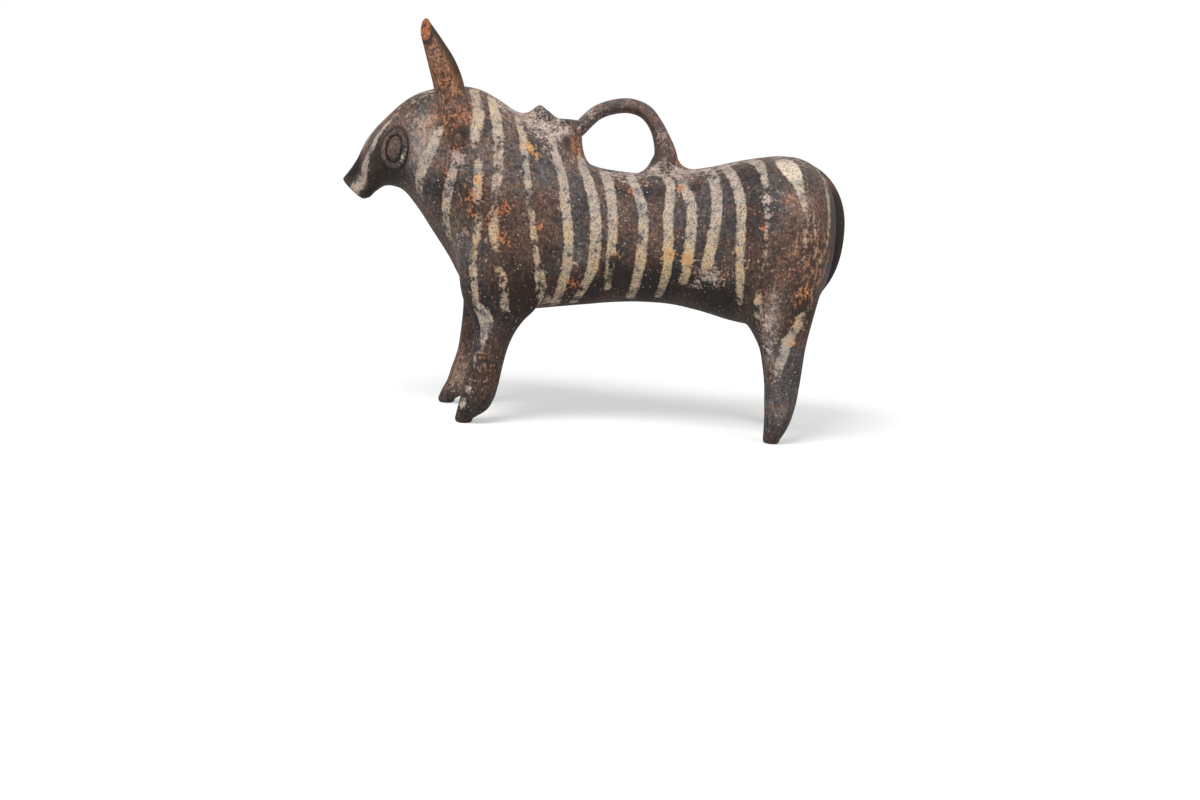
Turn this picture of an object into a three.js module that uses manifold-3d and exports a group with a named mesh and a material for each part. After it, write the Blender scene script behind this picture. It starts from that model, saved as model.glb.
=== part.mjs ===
// Bull-shaped pouring vessel of fired clay: a hollow hand-built body with a filling collar behind
// the neck, a strap handle, a pierced muzzle, four solid legs and applied horns, ears, eyes and tail.
//
// The skin of the animal is a loft over ribs. A rib is an oval in a plane across the body, given by
// the two points where it meets the back and the belly line. The shell between the skin and the
// cavity is parted where the potter joined it, and every applied piece is cut to the skin it sits on.
//
// Millimetres. X runs from the muzzle (-) to the tail (+), Y across with the left flank at -Y, Z up
// from the ground.

import * as THREE from 'three';
import { mergeVertices } from 'three/addons/utils/BufferGeometryUtils.js';
import Module from 'manifold-3d';

const wasm = await Module();
wasm.setup();

// Clay
const WALL = 4.5; // thickness of the hollow body
const SEAM = 0.3; // room between two pieces that are luted together

// Main sizes of the animal. Everything below is placed from these and from the seven main ribs.
const STAND = 45.2; // ground to the underside of the hips
const HIP_X = 76; // hips behind the middle of the vessel
const HIP_TO_WAIST = 54;
const WAIST_TO_SHOULDER = 56;
const SHOULDER_TO_NECK = 8;
const NECK_TO_POLL = 21;
const POLL_TO_NOSE = 34.7;
const NOSE_TO_LIP = 6;

// Main ribs, tail to muzzle. x is the upper end of the rib on the back and slant how far its lower end
// lies behind that. back and belly are heights over STAND, half is the half width and lean how far the
// rib leans to the right flank. The hip is the widest; behind it the rump closes as a dome.
const HIP = { x: HIP_X, slant: 0, back: 70.4, belly: 0, half: 41, lean: 0 };
const WAIST = { x: HIP.x - HIP_TO_WAIST, slant: 0, back: 59.6, belly: 6.8, half: 26.3, lean: 0 };
const SHOULDER = { x: WAIST.x - WAIST_TO_SHOULDER, slant: -7, back: 80.4, belly: 1.8, half: 34.4, lean: 0.5 };
const NAPE_X = SHOULDER.x - SHOULDER_TO_NECK;
const NECK_ROOT = { x: NAPE_X, slant: -8.9, back: 85.2, belly: 8.3, half: 32.2, lean: 0.5 };
const POLL = { x: NECK_ROOT.x - NECK_TO_POLL, slant: -10, back: 88.8, belly: 39.7, half: 24.6, lean: 0 };
const NOSE = { x: POLL.x - POLL_TO_NOSE, slant: 5.3, back: 58, belly: 42.2, half: 7.4, lean: -1.6 };
const LIP = { x: NOSE.x - NOSE_TO_LIP, slant: 9.1, back: 49.1, belly: 41.3, half: 6, lean: -2.4 };

// Ribs between two main ones: share of the way along the back, share of the way along the belly, then
// how far the back, the belly and the half width stand off the straight line between the two.
const HIND_BARREL = [
  [0.15, 0.15, 0.8, -0.6, 0.8],
  [0.33, 0.33, 0.4, -0.6, -0.3],
  [0.56, 0.56, -0.8, 0.6, -2.4],
  [0.78, 0.78, -0.9, 1.3, -2.5],
];
const FRONT_BARREL = [
  [0.21, 0.19, -4.5, -0.2, -0.8],
  [0.41, 0.37, -7.1, -1.1, -1],
  [0.61, 0.56, -5.5, -2, 0],
  [0.8, 0.78, -2.2, -2.3, 0.8],
];
const NECK = [
  [0.33, 0.35, 2, 0.6, 0.1],
  [0.64, 0.68, 2, 0.3, -0.1],
];
const FOREHEAD = [
  [0.23, 0.3, 4.9, 5.2, 1.6],
  [0.45, 0.53, 7.8, 6.2, 3.7],
  [0.65, 0.7, 7.8, 5.5, 4.8],
  [0.81, 0.82, 6.5, 3.8, 3.9],
  [0.92, 0.93, 3.9, 1.8, 1.6],
];
const MUZZLE = [[0.45, 0.59, -0.5, -0.1, -0.4]];

const RIB_BULGE = 2.15; // superellipse exponent of every rib, a little squarer than an ellipse
const RUMP_DEPTH = 23.6; // from the hip rib to the end of the rump
const RUMP_BULGE = 2.4; // exponent of the dome that closes the rump
const RUMP_LIFT = 4.6; // how much higher the end of the rump lies than the middle of the hip
const RUMP_SKEW = 2.4; // how far the end of the rump leans to the right flank
const RUMP_CAP_DEPTH = 12; // depth of the dish that closes the barrel
const POUR_BORE = 4.6; // diameter of the hole through the muzzle

// Filling collar behind the neck
const HOLE_BEHIND_SHOULDER = 17;
const HOLE_X = SHOULDER.x + HOLE_BEHIND_SHOULDER; // centre of the filling hole
const HOLE_Y = 2.5;
const HOLE_HALF_LENGTH = 6.7; // along the body
const HOLE_HALF_WIDTH = 10.2; // across the body
const LIP_WALL = 3.1; // thickness of the collar at its lip
const COLLAR_FLARE = 7.2; // how much wider the collar spreads onto the back
const LIP_RISE = 8.9; // lip at the sides and the rear over the back in the middle of the hole
const LIP_PEAK = 5.2; // rise of the pointed lip at the front
const PEAK_THINNING = 0.9; // how much thinner the lip is at its point

// Strap handle from the back of the collar to the waist
const STRAP_HALF_WIDTH = 6;
const STRAP_HALF_THICKNESS = 2.95;
const STRAP_RISE = 7.8; // middle of the strap at its crest, over the lip
const STRAP_BOW = 8.4; // how far the crest stands off the middle plane
const STRAP_BEHIND_WAIST = 6.2;
const STRAP_ROOT_X = WAIST.x + STRAP_BEHIND_WAIST; // where the rear root stands on the back
const STRAP_ROOT_Y = 6.4;
const STRAP_ROOT_SPREAD = 5; // widening of the strap where it meets the back
const STRAP_PEG = 7; // diameter of the peg pushed through the wall

// Legs: solid, a stack of ovals as [height in shares of STAND, share of the leg's step, half length and
// half width in shares of LEG_RADIUS]. The step is how far the foot stands behind the top of the leg,
// and the top ovals lie in the body.
const LEG_RADIUS = 7; // below the knee
const FRONT_LEG_AHEAD = 2; // top of the leg ahead of the shoulder
const HIND_LEG_BEHIND = 1; // top of the leg behind the hips
const FRONT_LEG_SET = 10.4; // middle of the leg inside the widest flank
const HIND_LEG_SET = 16;
const FRONT_LEFT_STEP = -10.4;
const FRONT_RIGHT_STEP = -22.4;
const HIND_LEFT_STEP = 3.6;
const HIND_RIGHT_STEP = 6.8; // right hind foot behind the left one
const TENON = 10; // diameter of the tongue that goes through the wall
const TENON_REACH = 2; // how far the tongue stands out inside
const LEG_INSET = 1.4; // how far each leg leans in per STAND of height above its knee
const FOOT_HALF_LENGTH = 2.8; // flat that the foot stands on
const FOOT_HALF_WIDTH = 3.2;
const FRONT_LEFT_LEG = [
  [0.035, 1, 0.6, 0.66],
  [0.12, 0.76, 0.84, 0.86],
  [0.22, 0.61, 0.96, 0.94],
  [0.35, 0.5, 1.03, 0.99],
  [0.53, 0.35, 1, 0.99],
  [0.71, 0.19, 1.04, 1.04],
  [0.84, 0.06, 1.2, 1.14],
  [0.95, -0.04, 1.51, 1.27],
  [1.06, -0.1, 2.03, 1.43],
  [1.24, -0.08, 2.31, 1.63],
  [1.46, 0, 2.2, 1.6],
  [1.73, 0, 1.71, 1.14],
];
const FRONT_RIGHT_LEG = [
  [0.035, 1, 0.6, 0.66],
  [0.12, 0.86, 0.84, 0.86],
  [0.22, 0.73, 0.96, 0.94],
  [0.35, 0.64, 1.03, 0.99],
  [0.53, 0.54, 1, 0.99],
  [0.71, 0.47, 1.06, 1.04],
  [0.84, 0.4, 1.23, 1.14],
  [0.95, 0.31, 1.51, 1.27],
  [1.06, 0.22, 1.86, 1.43],
  [1.24, 0.13, 2.2, 1.63],
  [1.46, 0.07, 2.2, 1.6],
  [1.73, 0, 1.71, 1.14],
];
const HIND_LEG = [
  [0.035, 0.33, 0.49, 0.63],
  [0.12, 0.61, 0.64, 0.79],
  [0.22, 0.83, 0.79, 0.89],
  [0.35, 0.97, 0.91, 0.96],
  [0.53, 1, 1, 1],
  [0.71, 0.86, 1.13, 1.09],
  [0.84, 0.69, 1.27, 1.21],
  [0.95, 0.42, 1.51, 1.4],
  [1.06, 0.06, 1.84, 1.6],
  [1.24, 0.17, 2.09, 1.86],
  [1.46, 0.28, 2.09, 1.86],
  [1.73, 0, 1.57, 1.29],
];
const HIND_STRAIGHT = 1.24; // share of STAND above which the two hind legs are alike

// Horns, from inside the head to the tip, in shares of HORN_SPAN: behind the poll, beyond its half width
// and over its back. The last number is the radius in shares of HORN_RADIUS.
const HORN_SPAN = 22; // tip of the left horn over the poll
const HORN_RADIUS = 6;
const LEFT_HORN = [
  [0.36, -0.39, -1.18, 0.53],
  [0.32, -0.24, -0.95, 0.77],
  [0.26, -0.18, -0.64, 0.93],
  [0.18, -0.17, -0.27, 0.98],
  [0.1, -0.11, 0.05, 0.95],
  [0, 0.01, 0.32, 0.87],
  [-0.13, 0.15, 0.59, 0.68],
  [-0.24, 0.28, 0.82, 0.5],
  [-0.32, 0.36, 1, 0.32],
];
const RIGHT_HORN = [
  [0.36, -0.39, -1.23, 0.53],
  [0.3, -0.24, -1, 0.77],
  [0.21, -0.17, -0.7, 0.93],
  [0.07, -0.14, -0.39, 0.98],
  [-0.05, -0.03, -0.14, 0.95],
  [-0.16, 0.14, 0.07, 0.88],
  [-0.27, 0.32, 0.27, 0.72],
  [-0.35, 0.46, 0.45, 0.53],
  [-0.38, 0.55, 0.59, 0.35],
];

// Ears, eyes and tail, all applied to the skin
const EAR_BEHIND_POLL = 8.4;
const EAR_BELOW_POLL = 22;
const EAR_LENGTH = 5; // stands off the side of the head
const EAR_RADIUS = 3.6;
const EYE_BEHIND_NOSE = 17.3;
const EYE_BELOW_POLL = 27;
const EYE_HALF_LENGTH = 4.2; // middle line of the coil round the eye
const EYE_HALF_HEIGHT = 6.4;
const EYE_COIL = 1.05; // radius of that coil
const EYE_TILT = 0.16; // radians that the oval leans back
const EYE_GROOVE = 0.35; // between the coil and the pellet inside it
const PELLET_DEPTH = 2.2; // how far the pellet stands off the head
const TAIL_HALF_WIDTH = 3.8;
const TAIL_DEPTH = 4.6; // how far the tail stands off the rump at its thickest
const TAIL_Y = -1.5;
const TAIL_BELOW_BACK = 6.6; // upper end of the tail under the top of the hips
const TAIL_ABOVE_BELLY = 15.8; // lower end over the underside of the hips

const OUTSIDE = 400; // a distance that is off the vessel in every direction

const SIDES = [['left', -1, LEFT_HORN], ['right', 1, RIGHT_HORN]];

// Points round each rib, and rings between two ribs
const ROUND = 32;
const RINGS_PER_RIB = 2;

const clay = (color, roughness = 0.85) => new THREE.MeshStandardMaterial({ color, roughness, metalness: 0 });
const darkSlip = clay(0x4a413d);
const paleSlip = clay(0x8d8173);
const hornSlip = clay(0x6b4c38);
const legSlip = clay(0x544740);

const V = (x, y, z) => new THREE.Vector3(x, y, z);

// Solids

// Turns a closed geometry into a solid that can be joined and cut.
function solid(geometry) {
  geometry.deleteAttribute('normal');
  geometry.deleteAttribute('uv');
  const merged = mergeVertices(geometry, 1e-4);
  const vertProperties = new Float32Array(merged.attributes.position.array);
  const triVerts = new Uint32Array(merged.index.array);
  return new wasm.Manifold(new wasm.Mesh({ numProp: 3, vertProperties, triVerts }));
}

// Closed surface over a list of rings of equal length, with a fan to a centre point at each end.
// With a closed list the last ring joins the first, as in a coil.
function loft(rings, { closed = false, start = centre(rings[0]), end = centre(rings.at(-1)) } = {}) {
  const n = rings[0].length;
  const points = rings.flat();
  const index = [];
  const quad = (a, b, c, d) => index.push(a, b, c, a, c, d);
  const spans = closed ? rings.length : rings.length - 1;
  for (let i = 0; i < spans; i++) {
    const near = i * n;
    const far = ((i + 1) % rings.length) * n;
    for (let k = 0; k < n; k++) {
      const next = (k + 1) % n;
      quad(near + k, near + next, far + next, far + k);
    }
  }
  if (!closed) {
    const first = points.push(start) - 1;
    const last = points.push(end) - 1;
    const tail = (rings.length - 1) * n;
    for (let k = 0; k < n; k++) {
      const next = (k + 1) % n;
      index.push(first, next, k);
      index.push(last, tail + k, tail + next);
    }
  }
  const geometry = new THREE.BufferGeometry().setFromPoints(points);
  geometry.setIndex(signedVolume(points, index) < 0 ? index.reverse() : index);
  return geometry;
}

function centre(ring) {
  const sum = ring.reduce((total, p) => total.add(p), V(0, 0, 0));
  return sum.divideScalar(ring.length);
}

function signedVolume(points, index) {
  let volume = 0;
  for (let i = 0; i < index.length; i += 3) {
    const [a, b, c] = [points[index[i]], points[index[i + 1]], points[index[i + 2]]];
    volume += a.dot(b.clone().cross(c)) / 6;
  }
  return volume;
}

// Ring of n points round a centre, spanned by two half axes.
function oval(middle, axisA, axisB, n) {
  return Array.from({ length: n }, (_, k) => {
    const angle = (2 * Math.PI * k) / n;
    return middle.clone().addScaledVector(axisA, Math.cos(angle)).addScaledVector(axisB, Math.sin(angle));
  });
}

// Round peg from one point to another.
function peg(from, to, radius, n = 20) {
  const along = to.clone().sub(from).normalize();
  const across = V(0, 1, 0).cross(along).normalize().multiplyScalar(radius);
  const other = along.clone().cross(across);
  return solid(loft([from, to].map((p) => oval(p, across, other, n))));
}

// Skin

// Upper and lower end of a main rib, as every other function takes a rib.
const placed = ({ x, slant, back, belly, half, lean }) => (
  { back: [x, STAND + back], belly: [x + slant, STAND + belly], half, lean });

// The ribs between two main ones.
function between(from, to, rows) {
  const { lerp } = THREE.MathUtils;
  return rows.map(([share, under, rise, sag, swell]) => {
    const x = lerp(from.x, to.x, share);
    return {
      x,
      slant: lerp(from.x + from.slant, to.x + to.slant, under) - x,
      back: lerp(from.back, to.back, share) + rise,
      belly: lerp(from.belly, to.belly, under) + sag,
      half: lerp(from.half, to.half, share) + swell,
      lean: lerp(from.lean, to.lean, share),
    };
  });
}

const RIBS = [
  HIP, ...between(HIP, WAIST, HIND_BARREL),
  WAIST, ...between(WAIST, SHOULDER, FRONT_BARREL),
  SHOULDER,
  NECK_ROOT, ...between(NECK_ROOT, POLL, NECK),
  POLL, ...between(POLL, NOSE, FOREHEAD),
  NOSE, ...between(NOSE, LIP, MUZZLE),
  LIP,
].map(placed);
const HIP_TOP = STAND + HIP.back;
const HIP_BOTTOM = STAND + HIP.belly;

// The rump dome: a superellipse of revolution in the hip's proportions. angle is 0 at the hip.
function domeRib(angle) {
  const along = Math.sin(angle) ** (2 / RUMP_BULGE);
  const scale = Math.cos(angle) ** (2 / RUMP_BULGE);
  const x = HIP.x + RUMP_DEPTH * along;
  const middle = (HIP_TOP + HIP_BOTTOM) / 2 + RUMP_LIFT * along;
  return {
    back: [x, middle + (HIP_TOP - middle) * scale],
    belly: [x, middle + (HIP_BOTTOM - middle) * scale],
    half: HIP.half * scale,
    lean: HIP.lean + RUMP_SKEW * along ** 2,
  };
}

// Smooth ribs from the hip to the muzzle through the ribs given above.
function bodyRibs() {
  const ghost = domeRib(0.45);
  const list = [ghost, ...RIBS];
  const curve = (point) => new THREE.CatmullRomCurve3(list.map(point), false, 'centripetal');
  const back = curve((rib) => V(rib.back[0], 0, rib.back[1]));
  const belly = curve((rib) => V(rib.belly[0], 0, rib.belly[1]));
  const flank = curve((rib) => V(rib.half, rib.lean, rib.back[0]));
  const steps = (RIBS.length - 1) * RINGS_PER_RIB;
  return Array.from({ length: steps + 1 }, (_, i) => {
    const t = (1 + i / RINGS_PER_RIB) / (list.length - 1);
    const [b, u, f] = [back.getPoint(t), belly.getPoint(t), flank.getPoint(t)];
    return { back: [b.x, b.z], belly: [u.x, u.z], half: f.x, lean: f.y };
  });
}

// Points round one rib. Each quarter is a superellipse between the wide line and the back or belly.
function ribRing(rib) {
  const top = V(rib.back[0], rib.lean, rib.back[1]);
  const bottom = V(rib.belly[0], rib.lean, rib.belly[1]);
  const middle = top.clone().lerp(bottom, 0.5);
  const up = top.clone().sub(bottom).divideScalar(2);
  return Array.from({ length: ROUND }, (_, k) => {
    const angle = (2 * Math.PI * k) / ROUND;
    const c = Math.sign(Math.cos(angle)) * Math.abs(Math.cos(angle)) ** (2 / RIB_BULGE);
    const s = Math.sign(Math.sin(angle)) * Math.abs(Math.sin(angle)) ** (2 / RIB_BULGE);
    return middle.clone().addScaledVector(up, s).add(V(0, rib.half * c, 0));
  });
}

const DOME_ANGLES = [86, 79, 71, 62, 52, 41, 28, 14].map((degrees) => THREE.MathUtils.degToRad(degrees));
const SKIN_RINGS = [...DOME_ANGLES.map(domeRib), ...bodyRibs()].map(ribRing);
const RUMP_END = V(HIP.x + RUMP_DEPTH, HIP.lean + RUMP_SKEW, centre(SKIN_RINGS[0]).z);

// Outward normals of the skin at every ring point, from its neighbours along and round the body.
const SKIN_NORMALS = SKIN_RINGS.map((ring, i) => ring.map((point, k) => {
  const ahead = SKIN_RINGS[Math.min(i + 1, SKIN_RINGS.length - 1)][k];
  const behind = i > 0 ? SKIN_RINGS[i - 1][k] : RUMP_END;
  const along = ahead.clone().sub(behind);
  const round = ring[(k + 1) % ROUND].clone().sub(ring[(k + ROUND - 1) % ROUND]);
  const normal = round.cross(along).normalize();
  return normal.dot(point.clone().sub(centre(ring))) < 0 ? normal.negate() : normal;
}));

// The skin moved along its normals, as a closed solid over the first count rings. A stride of 2
// takes every other ring and point, which is enough for the cavity.
function skin(offset, count = SKIN_RINGS.length, stride = 1) {
  const moved = SKIN_RINGS.slice(0, count).map((ring, i) => (
    ring.map((point, k) => point.clone().addScaledVector(SKIN_NORMALS[i][k], offset))));
  const rings = moved.filter((_, i) => (moved.length - 1 - i) % stride === 0);
  const kept = rings.map((ring) => ring.filter((_, k) => k % stride === 0));
  return loft(kept, { start: RUMP_END.clone().add(V(offset, 0, 0)) });
}

const CAVITY_RINGS = SKIN_RINGS.length - 4 * RINGS_PER_RIB; // the cavity ends before the muzzle

const SKIN_MESH = new THREE.Mesh(skin(0), new THREE.MeshBasicMaterial({ side: THREE.DoubleSide }));
SKIN_MESH.geometry.computeVertexNormals();

// First point of the skin met from a point in a direction, with the outward normal there.
function skinHit(from, direction) {
  const ray = new THREE.Raycaster(from, direction.clone().normalize());
  const hit = ray.intersectObject(SKIN_MESH)[0];
  return { point: hit.point, normal: hit.face.normal.clone() };
}

const backHeight = (x, y) => skinHit(V(x, y, OUTSIDE), V(0, 0, -1)).point.z;
const bellyHeight = (x, y) => skinHit(V(x, y, -OUTSIDE), V(0, 0, 1)).point.z;

// Heights that depend on the finished skin: the collar's lip and the crest of the handle.
const LIP_HEIGHT = backHeight(HOLE_X, HOLE_Y) + LIP_RISE;
const STRAP_TOP = LIP_HEIGHT + STRAP_RISE;

// Everything that lies on the skin is cut by this solid, which leaves the seam free.
const SEAT = solid(skin(SEAM));

// Hollow shell and the planes that part it

// Half space on the muzzle side of a rib's plane, moved towards the muzzle by shift.
function aheadOf(rib, shift) {
  const size = OUTSIDE;
  const back = V(rib.back[0], 0, rib.back[1]);
  const belly = V(rib.belly[0], 0, rib.belly[1]);
  const up = back.clone().sub(belly).normalize();
  const forward = V(-up.z, 0, up.x);
  const box = new THREE.BoxGeometry(size, size, size);
  const place = new THREE.Matrix4().makeBasis(forward.clone().negate(), V(0, 1, 0), up);
  place.setPosition(back.clone().lerp(belly, 0.5).addScaledVector(forward, size / 2 + shift));
  return solid(box.applyMatrix4(place));
}

// Filling hole: an oval shaft from the cavity up through the collar.
function fillingShaft() {
  const across = V(0, HOLE_HALF_WIDTH, 0);
  const along = V(HOLE_HALF_LENGTH, 0, 0);
  const floor = backHeight(HOLE_X, HOLE_Y) - 4 * WALL;
  const roof = LIP_HEIGHT + 3 * LIP_PEAK;
  return solid(loft([floor, roof].map((z) => oval(V(HOLE_X, HOLE_Y, z), along, across, 36))));
}

const ribCentre = (rib) => V((rib.back[0] + rib.belly[0]) / 2, rib.lean, (rib.back[1] + rib.belly[1]) / 2);

// Pouring hole: from the front end of the cavity through the muzzle and out, with a bend at the nose.
function pourBore() {
  const [lip, nose] = [LIP, NOSE].map((rib) => ribCentre(placed(rib)));
  const cavity = centre(SKIN_RINGS[CAVITY_RINGS - 1]);
  const past = (from, to) => to.clone().addScaledVector(to.clone().sub(from).normalize(), 2 * POUR_BORE);
  const bend = solid(new THREE.SphereGeometry(POUR_BORE / 2, 16, 8).translate(nose.x, nose.y, nose.z));
  const reach = (to) => peg(nose, past(nose, to), POUR_BORE / 2, 16);
  return reach(lip).add(bend).add(reach(cavity));
}

// Hole or tongue that carries a leg through the belly wall.
function legTongue({ x, y }, radius) {
  const wall = bellyHeight(x, y);
  return peg(V(x, y, wall - WALL), V(x, y, wall + WALL + tongueRise(x, y) + TENON_REACH), radius);
}

// The wall is cut on a slant, so the tongue is lengthened by the slope of the belly across it.
function tongueRise(x, y) {
  const out = bellyHeight(x, y + Math.sign(y) * (TENON / 2));
  return Math.abs(out - bellyHeight(x, y)) + WALL / 2;
}

function strapPeg(radius) {
  const z = backHeight(STRAP_ROOT_X, STRAP_ROOT_Y);
  const at = (height) => V(STRAP_ROOT_X, STRAP_ROOT_Y, height);
  return peg(at(z + STRAP_HALF_THICKNESS), at(z - WALL - TENON_REACH), radius);
}

const FRONT_LEG_X = SHOULDER.x - FRONT_LEG_AHEAD;
const FRONT_LEG_Y = SHOULDER.half - FRONT_LEG_SET;
const HIND_LEG_X = HIP.x + HIND_LEG_BEHIND;
const HIND_LEG_Y = HIP.half - HIND_LEG_SET;
const hind = { stack: HIND_LEG, step: HIND_LEFT_STEP, x: HIND_LEG_X };
const LEGS = [
  { name: 'front_left_leg', stack: FRONT_LEFT_LEG, step: FRONT_LEFT_STEP, x: FRONT_LEG_X, y: -FRONT_LEG_Y },
  { name: 'front_right_leg', stack: FRONT_RIGHT_LEG, step: FRONT_RIGHT_STEP, x: FRONT_LEG_X, y: FRONT_LEG_Y },
  { name: 'hind_left_leg', ...hind, y: -HIND_LEG_Y },
  { name: 'hind_right_leg', ...hind, y: HIND_LEG_Y, further: HIND_RIGHT_STEP },
];

function shellPieces() {
  let shell = solid(skin(0)).subtract(solid(skin(-WALL, CAVITY_RINGS, 2)));
  shell = shell.subtract(pourBore()).subtract(fillingShaft()).subtract(strapPeg(STRAP_PEG / 2 + SEAM));
  for (const leg of LEGS) {
    shell = shell.subtract(legTongue(leg, TENON / 2 + SEAM));
  }
  const cap = placed({ ...HIP, x: HIP.x + RUMP_DEPTH - RUMP_CAP_DEPTH });
  const [neck, head, muzzle] = [NECK_ROOT, POLL, NOSE].map(placed);
  const half = SEAM / 2;
  const part = (rear, front) => shell.intersect(aheadOf(rear, half)).subtract(aheadOf(front, -half));
  return {
    rump_cap: shell.subtract(aheadOf(cap, -half)),
    torso_shell: part(cap, neck),
    neck_shell: part(neck, head),
    head_shell: part(head, muzzle),
    muzzle_spout: shell.intersect(aheadOf(muzzle, half)),
  };
}

// Collar

// Height of the lip round the hole: level, rising to a point at the front.
const lipHeight = (angle) => LIP_HEIGHT + LIP_PEAK * Math.max(0, -Math.cos(angle));

// Outside of the collar as a stack of ovals: [widening of the hole, share of the way up to the lip].
// The spread dies away upwards, so the wall rises out of the back in one sweep.
function collarBody(grow) {
  const sweep = (share) => [LIP_WALL + COLLAR_FLARE * (1 - share) ** 2.4, share];
  const thinning = (share, angle) => PEAK_THINNING * share ** 4 * Math.max(0, -Math.cos(angle));
  const levels = [
    [LIP_WALL + COLLAR_FLARE * 1.1, -0.4],
    ...[0.01, 0.12, 0.28, 0.5, 0.78].map(sweep),
    [LIP_WALL * 0.9, 0.93],
    [LIP_WALL * 0.55, 1],
  ];
  const n = 32;
  const rings = levels.map(([wider, share]) => Array.from({ length: n }, (_, k) => {
    const angle = (2 * Math.PI * k) / n;
    const out = wider + grow - thinning(Math.max(share, 0), angle);
    const x = HOLE_X + (HOLE_HALF_LENGTH + out) * Math.cos(angle);
    const y = HOLE_Y + (HOLE_HALF_WIDTH + out) * Math.sin(angle);
    const foot = backHeight(x, y);
    const lip = lipHeight(angle);
    return V(x, y, foot + share * Math.max(lip - foot, 2) + (share > 0 ? grow : 0));
  }));
  return solid(loft(rings));
}

// Handle

// Flat oval swept along a curve: [point, half thickness, half width] at each stop.
function strap(stops, n = 16, steps = 24) {
  const path = new THREE.CatmullRomCurve3(stops.map(([p]) => p), false, 'centripetal');
  const sizes = stops.map(([p, thick, wide]) => V(thick, wide, p.x * 0.1));
  const size = new THREE.CatmullRomCurve3(sizes, false, 'centripetal');
  const rings = Array.from({ length: steps + 1 }, (_, i) => {
    const t = i / steps;
    const along = path.getTangent(t);
    const outward = V(-along.z, 0, along.x).normalize();
    const across = along.clone().cross(outward).normalize();
    const { x: thick, y: wide } = size.getPoint(t);
    return oval(path.getPoint(t), outward.multiplyScalar(thick), across.multiplyScalar(wide), n);
  });
  return solid(loft(rings));
}

function handle() {
  const rearOfCollar = HOLE_X + HOLE_HALF_LENGTH + LIP_WALL / 2;
  const x = (share) => THREE.MathUtils.lerp(rearOfCollar, STRAP_ROOT_X, share);
  const rootZ = backHeight(STRAP_ROOT_X, STRAP_ROOT_Y);
  const y = (share) => HOLE_Y + (STRAP_BOW - HOLE_Y) * share;
  const settle = (share) => STRAP_ROOT_Y + (STRAP_BOW - STRAP_ROOT_Y) * share;
  const thick = STRAP_HALF_THICKNESS;
  const wide = STRAP_HALF_WIDTH;
  const spread = STRAP_ROOT_SPREAD;
  const stops = [
    [V(rearOfCollar - LIP_WALL, y(0.1), LIP_HEIGHT - 0.9 * STRAP_RISE), thick, wide + spread * 0.8],
    [V(x(0.01), y(0.3), LIP_HEIGHT - 0.44 * STRAP_RISE), thick, wide + spread * 0.6],
    [V(x(0.1), y(0.6), LIP_HEIGHT + 0.1 * STRAP_RISE), thick, wide + spread * 0.25],
    [V(x(0.19), y(0.85), STRAP_TOP - 0.47 * STRAP_RISE), thick, wide * 1.1],
    [V(x(0.35), y(1), STRAP_TOP - 0.13 * STRAP_RISE), thick, wide],
    [V(x(0.56), y(1), STRAP_TOP), thick, wide],
    [V(x(0.74), settle(0.7), STRAP_TOP - 0.26 * STRAP_RISE), thick, wide],
    [V(x(0.86), settle(0.4), STRAP_TOP - 0.85 * STRAP_RISE), thick, wide],
    [V(x(0.94), settle(0.15), STRAP_TOP - 1.54 * STRAP_RISE), thick * 1.17, wide],
    [V(x(1), STRAP_ROOT_Y, rootZ + 1.4 * wide), thick * 1.6, wide + spread * 0.2],
    [V(x(1), STRAP_ROOT_Y, rootZ + 0.57 * wide), thick * 2.2, wide + spread * 0.5],
    [V(x(1), STRAP_ROOT_Y, rootZ - 0.25 * wide), thick * 3.5, wide + spread],
  ];
  return strap(stops).subtract(SEAT).subtract(collarBody(SEAM)).add(strapPeg(STRAP_PEG / 2));
}

// Legs, horns and ears

function leg({ stack, step, x, y, further = 0 }) {
  const n = 18;
  const rings = [[0, stack[0][1], FOOT_HALF_LENGTH / LEG_RADIUS, FOOT_HALF_WIDTH / LEG_RADIUS], ...stack].map(
    ([share, stepped, length, width]) => {
      const behind = step * stepped + further * Math.max(0, 1 - (share / HIND_STRAIGHT) ** 2);
      const inset = Math.sign(y) * LEG_INSET * Math.max(0, share - 0.66);
      const middle = V(x + behind, y - inset, STAND * share);
      return oval(middle, V(LEG_RADIUS * length, 0, 0), V(0, LEG_RADIUS * width, 0), n);
    });
  return solid(loft(rings)).subtract(SEAT).add(legTongue({ x, y }, TENON / 2));
}

function horn(stops, side, grow = 0) {
  const poll = V(POLL.x, side * POLL.half, STAND + POLL.back);
  const place = ([behind, beyond, over]) => V(behind, side * beyond, over).multiplyScalar(HORN_SPAN).add(poll);
  const path = new THREE.CatmullRomCurve3(stops.map(place), false, 'centripetal');
  const n = 14;
  const steps = 14;
  const rings = Array.from({ length: steps + 1 }, (_, i) => {
    const t = i / steps;
    const stop = t * (stops.length - 1);
    const near = Math.min(Math.floor(stop), stops.length - 2);
    const radius = HORN_RADIUS * THREE.MathUtils.lerp(stops[near][3], stops[near + 1][3], stop - near) + grow;
    const along = path.getTangent(t);
    const across = along.clone().cross(V(0, 1, 0)).normalize();
    const other = along.clone().cross(across).normalize();
    return oval(path.getPoint(t), across.multiplyScalar(radius), other.multiplyScalar(radius), n);
  });
  return solid(loft(rings)).subtract(SEAT);
}

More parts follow.
